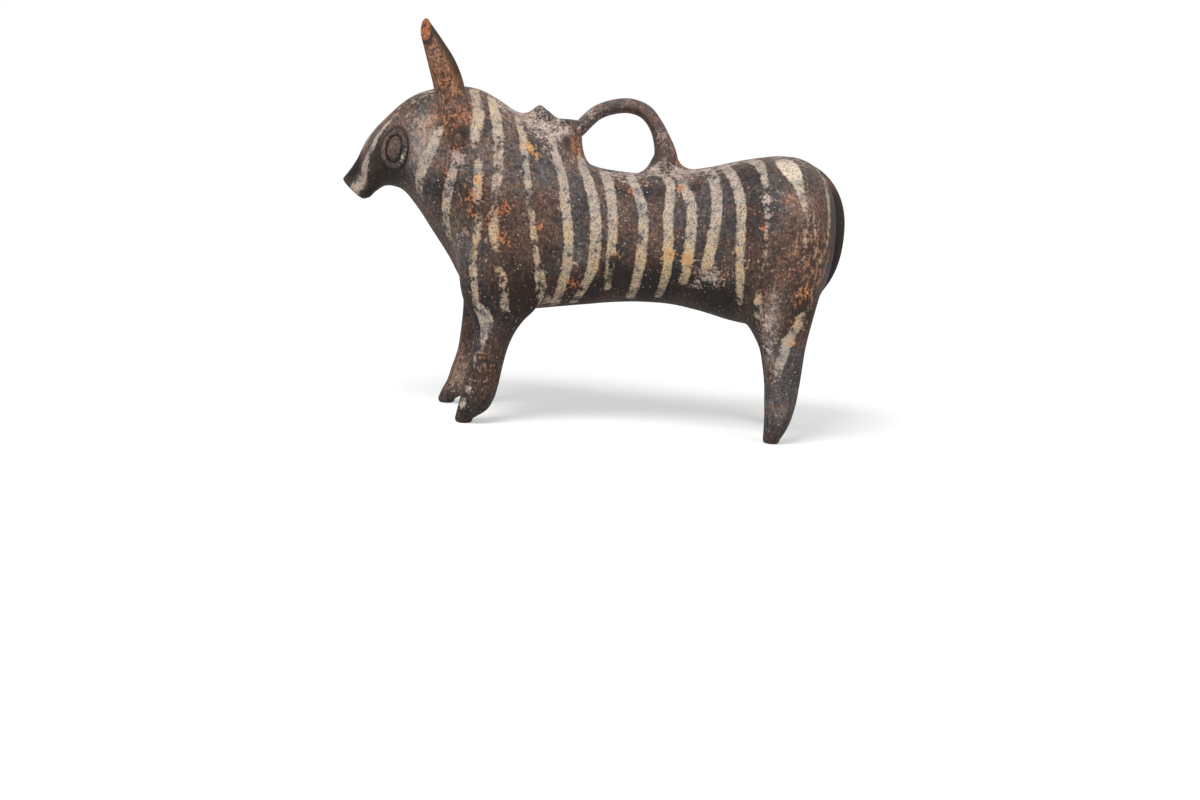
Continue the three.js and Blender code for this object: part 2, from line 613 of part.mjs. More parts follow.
// Small pinched cone standing off the side of the head, clear of the root of the horn above it.
function ear(stops, side) {
  const place = V(POLL.x + EAR_BEHIND_POLL, side * OUTSIDE, STAND + POLL.back - EAR_BELOW_POLL);
  const { point, normal } = skinHit(place, V(0, -side, 0));
  const along = normal;
  const up = V(0, 0, 1).addScaledVector(along, -along.z).normalize();
  const forward = up.clone().cross(along);
  const rings = [[-0.4, 1.25], [0.08, 1], [0.55, 0.62], [0.86, 0.32], [1, 0.12]].map(([out, share]) => {
    const height = out * EAR_LENGTH;
    const radius = EAR_RADIUS * share;
    const middle = point.clone().addScaledVector(along, height).add(V(0.12 * height, 0, 0.1 * height));
    return oval(middle, forward.clone().multiplyScalar(radius * 0.8), up.clone().multiplyScalar(radius), 12);
  });
  return solid(loft(rings)).subtract(SEAT).subtract(horn(stops, side, SEAM));
}

// Eyes: a coil laid as an oval on the head and a flat pellet inside it

function eyeFrame(side) {
  const place = V(NOSE.x + EYE_BEHIND_NOSE, side * OUTSIDE, STAND + POLL.back - EYE_BELOW_POLL);
  const { point, normal } = skinHit(place, V(0, -side, 0));
  const up = V(EYE_TILT, 0, 1).addScaledVector(normal, -normal.dot(V(EYE_TILT, 0, 1))).normalize();
  const forward = up.clone().cross(normal).normalize();
  return { point, normal, up, forward };
}

// Point on the head under an oval round the eye.
function onHead({ point, normal, up, forward }, a, b) {
  const above = point.clone().addScaledVector(forward, a).addScaledVector(up, b);
  above.addScaledVector(normal, 3 * EYE_HALF_HEIGHT);
  return skinHit(above, normal.clone().negate()).point;
}

function eyeCoil(side) {
  const eye = eyeFrame(side);
  const n = 24;
  const rings = Array.from({ length: n }, (_, k) => {
    const angle = (2 * Math.PI * k) / n;
    const [c, s] = [Math.cos(angle), Math.sin(angle)];
    const middle = onHead(eye, EYE_HALF_LENGTH * c, EYE_HALF_HEIGHT * s);
    middle.addScaledVector(eye.normal, SEAM + EYE_COIL * 0.5);
    const out = eye.forward.clone().multiplyScalar(c / EYE_HALF_LENGTH);
    out.addScaledVector(eye.up, s / EYE_HALF_HEIGHT).normalize();
    return oval(middle, out.multiplyScalar(EYE_COIL), eye.normal.clone().multiplyScalar(EYE_COIL), 8);
  });
  return solid(loft(rings, { closed: true })).subtract(SEAT);
}

function eyePellet(side) {
  const eye = eyeFrame(side);
  const shrink = EYE_COIL + EYE_GROOVE;
  const levels = [[-0.9, 1], [0.23, 1], [0.72, 0.82], [0.94, 0.5], [1, 0.16]];
  const n = 16;
  const rings = levels.map(([height, share]) => Array.from({ length: n }, (_, k) => {
    const angle = (2 * Math.PI * k) / n;
    const a = (EYE_HALF_LENGTH - shrink) * share * Math.cos(angle);
    const b = (EYE_HALF_HEIGHT - shrink) * share * Math.sin(angle);
    return onHead(eye, a, b).addScaledVector(eye.normal, height * PELLET_DEPTH);
  }));
  return solid(loft(rings)).subtract(SEAT);
}

// Tail: a strip down the end of the rump, thick in the middle and thin at both ends.
function tail() {
  const steps = 12;
  const rings = Array.from({ length: steps + 1 }, (_, i) => {
    const t = i / steps;
    const z = THREE.MathUtils.lerp(HIP_TOP - TAIL_BELOW_BACK, HIP_BOTTOM + TAIL_ABOVE_BELLY, t);
    const { point, normal } = skinHit(V(OUTSIDE, TAIL_Y, z), V(-1, 0, 0));
    const depth = TAIL_DEPTH * Math.sin(Math.PI * (0.08 + 0.84 * t)) ** 0.8;
    const width = TAIL_HALF_WIDTH * (0.55 + 0.45 * Math.sin(Math.PI * t));
    const out = V(normal.x, 0, normal.z).normalize();
    return oval(point, out.multiplyScalar(depth), V(0, width, 0), 12);
  });
  return solid(loft(rings)).subtract(SEAT);
}

// Assembly

const vessel = new THREE.Group();

function add(name, body, material) {
  const mesh = body.getMesh();
  const geometry = new THREE.BufferGeometry();
  geometry.setAttribute('position', new THREE.BufferAttribute(mesh.vertProperties, 3));
  geometry.setIndex(new THREE.BufferAttribute(mesh.triVerts, 1));
  geometry.computeVertexNormals();
  const part = new THREE.Mesh(geometry, material);
  part.name = name;
  vessel.add(part);
}

for (const [name, piece] of Object.entries(shellPieces())) {
  add(name, piece, darkSlip);
}
add('filling_collar', collarBody(0).subtract(SEAT).subtract(fillingShaft()), paleSlip);
add('strap_handle', handle(), darkSlip);
for (const [side, sign, hornStops] of SIDES) {
  add(`${side}_horn`, horn(hornStops, sign), hornSlip);
  add(`${side}_ear`, ear(hornStops, sign), hornSlip);
  add(`${side}_eye_ring`, eyeCoil(sign), darkSlip);
  add(`${side}_eye_pellet`, eyePellet(sign), darkSlip);
}
for (const item of LEGS) {
  add(item.name, leg(item), legSlip);
}
add('tail', tail(), darkSlip);

export default vessel;
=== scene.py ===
# %% [markdown]
# # A bull-shaped pouring vessel
# The real object is a hollow bull of fired clay, dark with pale painted stripes, about 21 cm long.
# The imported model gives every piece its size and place. This notebook makes the skin of each piece
# again with fine grids of points, lets the legs, horns and handle run into the body as wet clay does,
# and paints the slip, the stripes, the crust and the wear.

import bpy
import numpy as np
from mathutils import Matrix


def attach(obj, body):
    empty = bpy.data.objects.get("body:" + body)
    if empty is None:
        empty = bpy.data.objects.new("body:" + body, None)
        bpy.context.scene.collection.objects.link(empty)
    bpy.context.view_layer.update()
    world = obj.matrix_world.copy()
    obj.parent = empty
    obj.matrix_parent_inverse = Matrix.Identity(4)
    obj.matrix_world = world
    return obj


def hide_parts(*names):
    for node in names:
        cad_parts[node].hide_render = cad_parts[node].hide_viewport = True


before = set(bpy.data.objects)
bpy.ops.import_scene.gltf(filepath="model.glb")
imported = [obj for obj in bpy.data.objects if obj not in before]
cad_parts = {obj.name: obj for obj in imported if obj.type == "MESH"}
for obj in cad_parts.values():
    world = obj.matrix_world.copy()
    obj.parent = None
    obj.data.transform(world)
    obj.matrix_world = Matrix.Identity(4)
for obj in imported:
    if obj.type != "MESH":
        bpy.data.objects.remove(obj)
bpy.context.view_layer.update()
MM = 0.001

# %% [markdown]
# ## Ribs
# A potter shapes such a body over the hand, and its outline is easiest to give as ribs: ovals that
# stand across the body. Each rib is known by the point where it meets the back, the point where it
# meets the belly, its half width and how far it leans sideways. All lengths are in millimetres, x
# runs from the muzzle to the tail, y is negative on the left flank, and z is the height.
# Sculpting would give no sizes that can be changed one by one, and a lathe gives only round bodies.

# %% Ribs from the hip to the muzzle
# back x, back z, belly x, belly z, half width, lean
RIBS = np.array([
    (76, 115.6, 76, 45.2, 41, 0),
    (68, 114.8, 68, 45.6, 39.6, 0),
    (58, 112.4, 58, 46.8, 35.8, 0),
    (46, 108.8, 46, 49.6, 30.4, 0.3),
    (34, 106.3, 34, 51.8, 27, 0.3),
    (22, 104.8, 22, 52, 26.3, 0),
    (10, 104.7, 10, 50.8, 27.2, 0),
    (-1, 106.2, -1, 49, 28.6, 0),
    (-12, 112, -13, 47.2, 31.2, 0.3),
    (-23, 119.2, -27, 45.8, 33.6, 0.5),
    (-34, 125.6, -41, 47, 34.4, 0.5),
    (-42, 130.4, -50.9, 53.5, 32.2, 0.5),
    (-49, 133.6, -58.6, 65.1, 29.8, 0.3),
    (-55.4, 134.7, -65.9, 75.2, 27.2, 0.2),
    (-63, 134, -73, 84.9, 24.6, 0),
    (-71, 131.8, -78.8, 90.9, 22.2, -0.4),
    (-78.6, 127.9, -83.3, 92.4, 20.6, -0.7),
    (-85.6, 121.8, -86.6, 92.2, 18.2, -1),
    (-91.1, 115.6, -88.9, 90.8, 14.6, -1.3),
    (-94.9, 109.6, -91, 89, 10.4, -1.5),
    (-97.7, 103.2, -92.4, 87.4, 7.4, -1.6),
    (-100.4, 98.7, -93.7, 86.8, 6.4, -2),
    (-103.7, 94.3, -94.6, 86.5, 6, -2.4),
])
# Numbers of the ribs at which the neck, the head and the muzzle begin.
NECK_ROOT, POLL, NOSE = 11, 14, 20
# The first rib is the hip, on which the dome of the rump stands.
HIP_X, HIP_BACK, _, HIP_BELLY, HIP_HALF, _ = RIBS[0]
RUMP_DEPTH = 23.6
RUMP_BULGE = 2.4
RUMP_LIFT = 4.6
RUMP_SKEW = 2.4
RUMP_SEAM_X = 87.6
RIB_BULGE = 2.15
WALL = 4.5
print(len(RIBS), "ribs, widest", 2 * HIP_HALF, "mm")


def unit(vectors):
    """Vectors divided by their own length."""
    length = np.linalg.norm(vectors, axis=-1, keepdims=True)
    return vectors / np.maximum(length, 1e-9)


def through(points, place):
    """Smooth curve through points, where place 0 is the first point, 1 the second and so on.

    Centripetal Catmull-Rom: each span is a cubic, and its end slopes are weighted by the square
    roots of the distances to its neighbours, so that uneven ribs make no waves.
    """
    points = np.asarray(points, float)
    place = np.asarray(place, float)
    padded = np.vstack([2 * points[0] - points[1], points, 2 * points[-1] - points[-2]])
    span = np.clip(np.floor(place).astype(int), 0, len(points) - 2)
    share = (place - span)[:, None]
    before, start, end, after = (padded[span + k] for k in range(4))
    gaps = [np.linalg.norm(b - a, axis=1, keepdims=True) ** 0.5
            for a, b in ((before, start), (start, end), (end, after))]
    leave = ((start - before) / gaps[0] - (end - before) / (gaps[0] + gaps[1])
             + (end - start) / gaps[1]) * gaps[1]
    arrive = ((end - start) / gaps[1] - (after - start) / (gaps[1] + gaps[2])
              + (after - end) / gaps[2]) * gaps[1]
    square = (-3 * start + 3 * end - 2 * leave - arrive) * share ** 2
    cube = (2 * start - 2 * end + leave + arrive) * share ** 3
    return start + leave * share + square + cube


def rump_ribs(angle):
    """Ribs of the rump, a dome on the hip rib.

    The way along the dome is the sine of the angle and the size of the rib its cosine, both to a
    power a little under one, so the dome is fuller than half an ellipse. It rises and leans a bit.
    """
    along = np.sin(angle) ** (2 / RUMP_BULGE)
    size = np.cos(angle) ** (2 / RUMP_BULGE)
    x = HIP_X + RUMP_DEPTH * along
    middle = (HIP_BACK + HIP_BELLY) / 2 + RUMP_LIFT * along
    back = middle + (HIP_BACK - middle) * size
    belly = middle + (HIP_BELLY - middle) * size
    return np.stack([x, back, x, belly, HIP_HALF * size, RUMP_SKEW * along ** 2], -1)


# %% One long list of fine ribs from the end of the rump to the muzzle
DOME_STEPS = 200
STEPS_PER_RIB = 40
# A rib part of the way round the dome leads the curve in, so that it leaves the hip smoothly.
LEAD_ANGLE = 0.45
rough = np.vstack([rump_ribs(np.array([LEAD_ANGLE])), RIBS])
place = 1 + np.arange((len(RIBS) - 1) * STEPS_PER_RIB + 1) / STEPS_PER_RIB
backs = through(rough[:, 0:2], place)
bellies = through(rough[:, 2:4], place)
flanks = through(np.column_stack([rough[:, 4], rough[:, 5], rough[:, 0]]), place)[:, :2]
dome = rump_ribs(np.linspace(np.pi / 2, 0, DOME_STEPS + 1))
SKELETON = np.vstack([dome[:-1], np.hstack([backs, bellies, flanks])])

moves = np.diff(SKELETON, axis=0)
middles = (SKELETON[:, 0:2] + SKELETON[:, 2:4]) / 2
flank_moves = np.hstack([np.diff(middles, axis=0), moves[:, 4:5]])
steps = (np.linalg.norm(moves[:, 0:2], axis=1) + np.linalg.norm(moves[:, 2:4], axis=1)
         + 2 * np.linalg.norm(flank_moves, axis=1)) / 4
TRAVEL = np.concatenate([[0], np.cumsum(steps)])


def travel_of_rib(number):
    """Way along the body, from the end of the rump, at one of the ribs in the table."""
    return TRAVEL[DOME_STEPS + number * STEPS_PER_RIB]


RUMP_SEAM = np.interp(-RUMP_SEAM_X, -SKELETON[:DOME_STEPS, 0], TRAVEL[:DOME_STEPS])
END = TRAVEL[-1]
print("way along the body", round(END, 1), "mm, rump seam at", round(float(RUMP_SEAM), 1))

# %% [markdown]
# ## The skin as a function
# Every point of the skin has two numbers: the way along the body, and the turn round the rib. Turn 0
# is the ridge of the back, a quarter turn is the left flank and half a turn the belly. The same
# formula can be turned round, to tell how far any point in space stands off the skin. With that, a
# leg or a horn finds where it has to end.
# A modifier that shrinks pieces onto the body could do that too, but it would drag the whole piece,
# where a formula moves each point just as far as its own piece needs.


# %% Skin, its normals and the height of a point over it
def rounded(value):
    """Sine or cosine bent towards a fuller oval: its size to a power just under one, with its sign."""
    return np.sign(value) * np.abs(value) ** (2 / RIB_BULGE)


def skin(travel, turn):
    """Point of the skin: middle of the rib, plus its half height times the rounded cosine of the turn,
    and its half width times the rounded sine."""
    travel, turn = np.broadcast_arrays(travel, turn)
    back_x, back_z, belly_x, belly_z, half, lean = (np.interp(travel, TRAVEL, c) for c in SKELETON.T)
    up = rounded(np.cos(turn))
    x = (back_x + belly_x) / 2 + (back_x - belly_x) / 2 * up
    z = (back_z + belly_z) / 2 + (back_z - belly_z) / 2 * up
    return np.stack([x, lean - half * rounded(np.sin(turn)), z], -1)


def skin_normals(travel, turn):
    """Direction square to the skin, outwards: cross product of two short steps on it."""
    along = skin(np.minimum(travel + 0.4, END), turn) - skin(np.maximum(travel - 0.4, 0), turn)
    around = skin(travel, turn + 0.01) - skin(travel, turn - 0.01)
    return unit(np.cross(along, around) + np.array([1e-6, 0, 0]))


CENTRES = (SKELETON[DOME_STEPS:, 0:2] + SKELETON[DOME_STEPS:, 2:4]) / 2
UPS = (SKELETON[DOME_STEPS:, 0:2] - SKELETON[DOME_STEPS:, 2:4]) / 2
WIDTHS = SKELETON[DOME_STEPS:, 4:6]
FORWARDS = unit(np.column_stack([-UPS[:, 1], UPS[:, 0]]))


def height_on_body(points):
    """Height over the skin ahead of the hip.

    The rib whose plane holds the point is found between two fine ribs. The point's place in that rib,
    divided by the half axes, gives a level that is 1 on the skin. The height is its distance from the
    rib's middle times one minus one over the level.
    """
    flat = points[:, [0, 2]]
    ahead = flat @ FORWARDS.T - (CENTRES * FORWARDS).sum(1)
    first = np.argmax(ahead <= 0, axis=1)
    first = np.where(ahead[:, -1] > 0, len(CENTRES) - 1, first)
    first = np.clip(first, 1, len(CENTRES) - 1)
    rows = np.arange(len(points))
    before, after = ahead[rows, first - 1], ahead[rows, first]
    share = np.clip(before / np.where(np.abs(before - after) < 1e-9, 1, before - after), 0, 1)[:, None]
    mix = lambda table: table[first - 1] * (1 - share) + table[first] * share
    centre, up, width = mix(CENTRES), mix(UPS), mix(WIDTHS)
    rise = ((flat - centre) * up).sum(1) / (up * up).sum(1)
    aside = (points[:, 1] - width[:, 1]) / width[:, 0]
    level = (np.abs(rise) ** RIB_BULGE + np.abs(aside) ** RIB_BULGE) ** (1 / RIB_BULGE)
    away = np.column_stack([flat - centre, points[:, 1] - width[:, 1]])
    return np.linalg.norm(away, axis=1) * (1 - 1 / np.maximum(level, 1e-3))


def height_on_rump(points):
    """Height over the dome: the level is the rounded sum of the way along it and the rib's level."""
    along = np.maximum((points[:, 0] - HIP_X) / RUMP_DEPTH, 0)
    held = np.minimum(along, 1)
    size = (1 - held ** RUMP_BULGE) ** (1 / RUMP_BULGE)
    middle = (HIP_BACK + HIP_BELLY) / 2 + RUMP_LIFT * held * (1 - size)
    rise = (points[:, 2] - middle) / ((HIP_BACK - HIP_BELLY) / 2)
    aside = (points[:, 1] - RUMP_SKEW * held ** 2) / HIP_HALF
    rib = (np.abs(rise) ** RIB_BULGE + np.abs(aside) ** RIB_BULGE) ** (1 / RIB_BULGE)
    level = (along ** RUMP_BULGE + rib ** RUMP_BULGE) ** (1 / RUMP_BULGE)
    away = np.column_stack([points[:, 0] - HIP_X, points[:, 1], points[:, 2] - middle])
    return np.linalg.norm(away, axis=1) * (1 - 1 / np.maximum(level, 1e-3))


def over_skin(points):
    """Height of points over the skin in mm, negative inside the body."""
    flat = points.reshape(-1, 3)
    heights = np.concatenate([
        np.where(some[:, 0] > HIP_X, height_on_rump(some), height_on_body(some))
        for some in np.array_split(flat, len(flat) // 4000 + 1)])
    return heights.reshape(points.shape[:-1])


def skin_slope(points):
    """Direction in which the height over the skin grows fastest, from steps along x, y and z."""
    steps = np.eye(3) * 0.1
    rises = [over_skin(points + step) - over_skin(points - step) for step in steps]
    return unit(np.stack(rises, -1))


def settle(points, height=0.0):
    """Points moved square to the skin until they stand at a height over it."""
    for _ in range(6):
        points = points - (over_skin(points) - height)[..., None] * skin_slope(points)
    return points


DROP_REACH = 160.0


def drop(points, direction, height=0.0):
    """Points moved along a direction until they stand at a height over the skin.

    The way is found by halving a reach of 160 mm forty times.
    """
    direction = unit(np.asarray(direction, float))
    near, far = np.zeros(points.shape[:-1]), np.full(points.shape[:-1], DROP_REACH)
    for _ in range(40):
        half = (near + far) / 2
        outside = over_skin(points + half[..., None] * direction) > height
        near, far = np.where(outside, half, near), np.where(outside, far, half)
    return points + near[..., None] * direction


check = skin(np.linspace(30, END - 8, 40)[:, None], np.linspace(0, 6.2, 24)[None])
print("height of skin points over the skin, largest", round(float(np.abs(over_skin(check)).max()), 3))

# %% [markdown]
# ## Grids to meshes
# Each piece is a grid of points whose columns close round it. A grid that doesn't close the other way
# ends in a pole at both ends, so every piece is a closed body. All points also get the same slow
# wobble, under half a millimetre, because a hand-built body is nowhere quite regular. It depends only
# on the place in space, so two pieces that meet still meet.
# Modifiers could close and smooth the pieces, but arrays keep every seam where it was worked out.


# %% The hand-made wobble
WOBBLE_WAVES = np.array([(0.13, 0.07, 0.11), (-0.09, 0.16, 0.06), (0.21, -0.12, 0.17)])
WOBBLE_SIZES = (0.16, 0.12, 0.07)
WOBBLE_TURNS = (1.3, 2.1, 0.7)
STEADY_BELOW = 12


def wobble(points):
    """Slow uneven shift of each point: sums of three sine waves of different lengths and directions.

    It dies away towards the ground, so that the feet stay flat on it.
    """
    phase = points @ WOBBLE_WAVES.T
    shift = [sum(size * np.sin(phase[..., wave] + turn * axis)
                 for wave, (size, turn) in enumerate(zip(WOBBLE_SIZES, WOBBLE_TURNS)))
             for axis in range(3)]
    return points + np.stack(shift, -1) * np.clip(points[..., 2:3] / STEADY_BELOW, 0, 1)


hip_ridge = np.array([HIP_X, 0, HIP_BACK])
print("wobble of the hip's ridge:", np.round(wobble(hip_ridge) - hip_ridge, 2), "mm")


# %% Quads and poles
def grid_quads(rows, columns, ring=False):
    """Quads between neighbouring rows. Columns always close up, rows only in a ring."""
    row = np.arange(rows if ring else rows - 1)[:, None]
    column = np.arange(columns)[None]
    next_row, next_column = (row + 1) % rows, (column + 1) % columns
    corners = [row * columns + column, row * columns + next_column,
               next_row * columns + next_column, next_row * columns + column]
    return np.stack(corners, -1).reshape(-1, 4)


def pole_triangles(pole, row_start, columns, flip):
    """Fan from a pole to the row next to it."""
    column = np.arange(columns)
    next_column = (column + 1) % columns
    first, second = (next_column, column) if flip else (column, next_column)
    return np.column_stack([np.full(columns, pole), row_start + first, row_start + second])


def closed_grid(grid, start=None, end=None):
    """Points, quads and triangles of a grid closed by two poles, which are the rows' middles if not
    given."""
    rows, columns = grid.shape[:2]
    start = grid[0].mean(0) if start is None else start
    end = grid[-1].mean(0) if end is None else end
    points = np.vstack([grid.reshape(-1, 3), start, end])
    count = rows * columns
    fans = np.vstack([pole_triangles(count, 0, columns, True),
                      pole_triangles(count + 1, count - columns, columns, False)])
    return points, grid_quads(rows, columns), fans


def volume(points, quads, triangles):
    """Volume inside a closed mesh, from the signed tetrahedra between its faces and the origin."""
    corners = np.vstack([quads[:, [0, 1, 2]], quads[:, [0, 2, 3]], triangles.reshape(-1, 3)])
    a, b, c = (points[corners[:, k]] for k in range(3))
    return float((a * np.cross(b, c)).sum() / 6)


# %% A piece from its arrays
SHARP_ANGLE = np.radians(60)


def make_piece(name, nodes, points, quads, triangles=np.empty((0, 3), int), extra=None):
    """Closed clay mesh from arrays in mm, shaded smooth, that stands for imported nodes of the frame.

    A mesh with a negative volume has its faces turned round, so that they point outwards.
    """
    amount = volume(points, quads, triangles)
    if amount < 0:
        quads, triangles = quads[:, ::-1], triangles[:, ::-1]
    loops = np.concatenate([quads.ravel(), triangles.ravel()])
    sizes = np.concatenate([np.full(len(quads), 4), np.full(len(triangles), 3)])
    mesh = bpy.data.meshes.new(name)
    mesh.vertices.add(len(points))
    mesh.vertices.foreach_set("co", (wobble(points) * MM).astype(np.float32).ravel())
    mesh.loops.add(len(loops))
    mesh.loops.foreach_set("vertex_index", loops.astype(np.int32))
    mesh.polygons.add(len(sizes))
    mesh.polygons.foreach_set("loop_start", (np.cumsum(sizes) - sizes).astype(np.int32))
    mesh.update(calc_edges=True)
    mesh.validate()
    mesh.shade_smooth()
    mesh.set_sharp_from_angle(angle=SHARP_ANGLE)
    for field, values in paint(points, extra or {}).items():
        layer = mesh.attributes.new(field, "FLOAT", "POINT")
        layer.data.foreach_set("value", values.astype(np.float32))
    piece = bpy.data.objects.new(name, mesh)
    piece.data.materials.append(CLAY)
    bpy.context.scene.collection.objects.link(piece)
    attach(piece, "root")
    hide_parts(*nodes)
    print(f"{name}: {len(points)} points, {abs(amount) / 1000:.1f} cm3")
    return piece


# %% [markdown]
# ## What is painted where
# The stripes run down each flank from near the ridge. Each one is a line of control points on the
# skin: x, turn in degrees, half width and how much paint is left, which is also lowered at the belly
# ends as painted shade. Between them runs a smooth curve, and every point of a mesh gets its
# distance to the nearest curve. The shader turns that distance into a stripe with a ragged edge, so
# the stripes stay sharp at any size of grid.
# A painted image would be as sharp as its pixels only, and would need the skin laid out flat.

# %% Stripes of the left flank
# x in mm, turn in degrees (left flank positive), half width in mm, strength of the paint, lower at
# the belly ends as painted shade
LEFT_STRIPES = [
    [(-63, 74, 1.6, 0.8), (-66, 91, 2.2, 0.9), (-68, 102, 2.4, 0.9), (-70, 120, 2, 0.8),
     (-70, 138, 1.2, 0.5)],
    [(-55, 78, 1.6, 0.7), (-56.5, 92, 2, 0.8), (-58, 106, 2.2, 0.7), (-58.5, 121, 2, 0.8),
     (-57, 136, 1.6, 0.5)],
    [(-51, 14, 1.6, 0.6), (-51, 24, 2, 0.8), (-48, 45, 2.2, 0.9), (-48.5, 62, 2, 0.8),
     (-48, 68, 1, 0.1)],
    [(-46, 72, 1.4, 0.5), (-46, 80, 1.8, 0.8), (-46, 90, 1.8, 0.8), (-45.5, 94, 1, 0.1)],
    [(-45, 98, 1.4, 0.4), (-45, 112, 1.8, 0.6), (-44, 128, 2, 0.6), (-43.5, 145, 2.2, 0.7)],
    [(-44.5, 8, 1.4, 0.6), (-44, 20, 2, 1), (-41, 40, 2.3, 1), (-38.5, 60, 1.7, 0.5),
     (-38.5, 78, 1.8, 0.6), (-39, 98, 1.9, 0.6), (-37, 116, 2, 0.6), (-35, 140, 1.8, 0.35),
     (-34, 160, 1.4, 0.3)],
    [(-34, 18, 1.5, 0.6), (-31, 32, 1.7, 0.8), (-28.5, 52, 1.5, 0.8), (-26.5, 68, 1.2, 0.6),
     (-25, 80, 1.1, 0.5), (-22.5, 100, 1.2, 0.6), (-20.5, 118, 1.6, 0.8), (-18, 138, 2, 0.8),
     (-17, 152, 2, 0.6)],
    [(-20, 14, 2.2, 0.7), (-17.5, 30, 2.2, 1), (-13, 54, 2, 1), (-11, 76, 2, 1), (-9, 94, 2, 1),
     (-9.5, 118, 2, 1), (-12, 140, 2, 0.9), (-14, 158, 1.8, 0.6)],
    [(-6.5, 14, 2.2, 0.9), (-4.5, 32, 2.4, 1), (0, 66, 2.2, 1), (1.5, 92, 2.4, 1), (1, 112, 2.2, 1),
     (-2, 134, 1.8, 0.8), (-6, 155, 1.4, 0.6)],
    [(2.5, 12, 2, 0.8), (4, 26, 2.2, 1), (7, 64, 2.1, 1), (8, 90, 1.9, 1), (8, 108, 1.8, 0.7),
     (7.5, 136, 1.3, 0.6)],
    [(13, 12, 1.8, 0.7), (15.5, 36, 2, 0.9), (20, 70, 2.1, 1), (20, 100, 2.1, 1), (19, 128, 2, 1),
     (17, 152, 1.8, 0.8)],
    [(26, 16, 1.6, 0.5), (29.5, 32, 1.8, 0.9), (30, 74, 1.9, 1), (31, 104, 2, 1), (30, 130, 1.7, 0.8),
     (28.5, 150, 1.4, 0.7)],
    [(32.8, 20, 1.7, 0.7), (35.5, 42, 1.9, 0.8), (38.5, 62, 2.1, 0.9), (39, 90, 2.1, 1),
     (38.6, 112, 2.1, 0.8), (37.5, 124, 1.8, 0.5)],
    [(45, 14, 2, 0.6), (47.5, 38, 2.3, 0.9), (48.4, 60, 2.3, 1), (47.6, 80, 2.3, 1), (46.4, 104, 2.3, 1),
     (45, 120, 1.8, 0.5)],
    [(51, 12, 1.8, 0.6), (53, 26, 2, 1), (57, 60, 2, 1), (58, 92, 1.9, 1), (60, 122, 1.7, 0.9),
     (62.5, 144, 1.2, 0.8)],
    [(61, 10, 3, 0.6), (64, 20, 2.6, 1), (66, 40, 1.4, 0.8), (67, 63, 1, 0.6), (67.5, 90, 0.7, 0.35),
     (67, 115, 0.6, 0.3)],
    [(73, 14, 2.2, 0.5), (75, 25, 4, 1.2), (77, 38, 3.8, 1.3), (79.5, 52, 1.9, 0.9), (82, 66, 1.3, 0.6),
     (83, 80, 1.2, 0.5), (82.5, 96, 0.9, 0.3)],
    [(88, 6, 1.4, 0.4), (91.5, 30, 1.8, 0.6), (92.3, 52, 1.3, 0.7), (93, 72, 1.1, 0.7),
     (92.6, 89, 0.9, 0.6), (90.1, 102, 0.7, 0.4)],
    [(86, 70, 0.8, 0.3), (87.4, 88, 0.9, 0.35), (87, 106, 0.7, 0.25)],
]
print(len(LEFT_STRIPES), "stripes on the left flank")

# %% Stripes of the right flank and the head
RIGHT_STRIPES = [
    [(-67, -92, 2, 0.7), (-69, -112, 1.8, 0.6), (-70, -135, 1.2, 0.4)],
    [(-54, -80, 1.8, 0.6), (-56, -104, 2, 0.7), (-56, -132, 1.6, 0.5)],
    [(-38.5, -34, 1.4, 0.8), (-39, -50, 2, 1), (-41, -90, 2, 0.9), (-43, -135, 1.8, 0.6)],
    [(-29.5, -32, 1.3, 0.8), (-28.5, -50, 1.9, 1), (-27, -90, 1.9, 0.9), (-27, -140, 1.8, 0.6)],
    [(-12.5, -30, 1.8, 0.6), (-11, -50, 2, 0.8), (-9, -76, 1.9, 0.8), (-11, -140, 1.8, 0.6)],
    [(1, -28, 2, 0.6), (2, -50, 2.1, 0.8), (4, -84, 2, 0.8), (2, -140, 1.8, 0.6)],
    [(15, -40, 1.4, 0.35), (14, -80, 1.6, 0.6), (15, -140, 1.6, 0.6)],
    [(32, -30, 1.6, 0.6), (30, -56, 1.9, 0.9), (28, -84, 1.9, 0.8), (28, -142, 1.6, 0.6)],
    [(46, -26, 2, 0.8), (43, -50, 2.1, 1), (40, -76, 2, 0.9), (40, -138, 1.8, 0.6)],
    [(52, -32, 1.8, 0.8), (49, -56, 2, 0.9), (47, -78, 2, 0.8), (48, -138, 1.6, 0.6)],
    [(58.5, -22, 2, 0.9), (57.5, -46, 2, 1), (56, -70, 1.8, 0.8), (58, -138, 1.6, 0.6)],
    [(70, -38, 2.6, 0.5), (71, -56, 2, 0.4)],
    [(80, -40, 2.6, 0.5), (80.5, -56, 2, 0.4)],
]
HEAD_STRIPES = [
    [(-95, 34, 1, 0.6), (-87, 19, 1.9, 1), (-76, 10, 2.1, 1), (-64, 3, 1.9, 0.8), (-52, -1, 1.6, 0.6)],
    [(-94, -34, 1, 0.6), (-85, -18, 2, 1), (-72, -18, 2.1, 1), (-58, -21, 1.9, 0.9),
     (-46, -22, 1.4, 0.7)],
    [(-79, 42, 0.8, 0.4), (-84, 53, 1.1, 0.8), (-88, 63, 1.4, 1), (-90.5, 77, 1.6, 1), (-93, 85, 2, 1),
     (-95.5, 94, 2.7, 1), (-98, 102, 2.2, 0.8)],
    [(-84, -56, 1, 0.8), (-88, -64, 1.3, 1), (-91, -80, 1.5, 1), (-94, -88, 1.9, 1),
     (-97, -102, 1.8, 0.8)],
]
print(len(RIGHT_STRIPES), "stripes on the right flank,", len(HEAD_STRIPES), "on the head")

# %% [markdown]
# On the legs and shoulders the paint lies on the applied clay and not on the skin below, so these
# few lines are given by points in space.

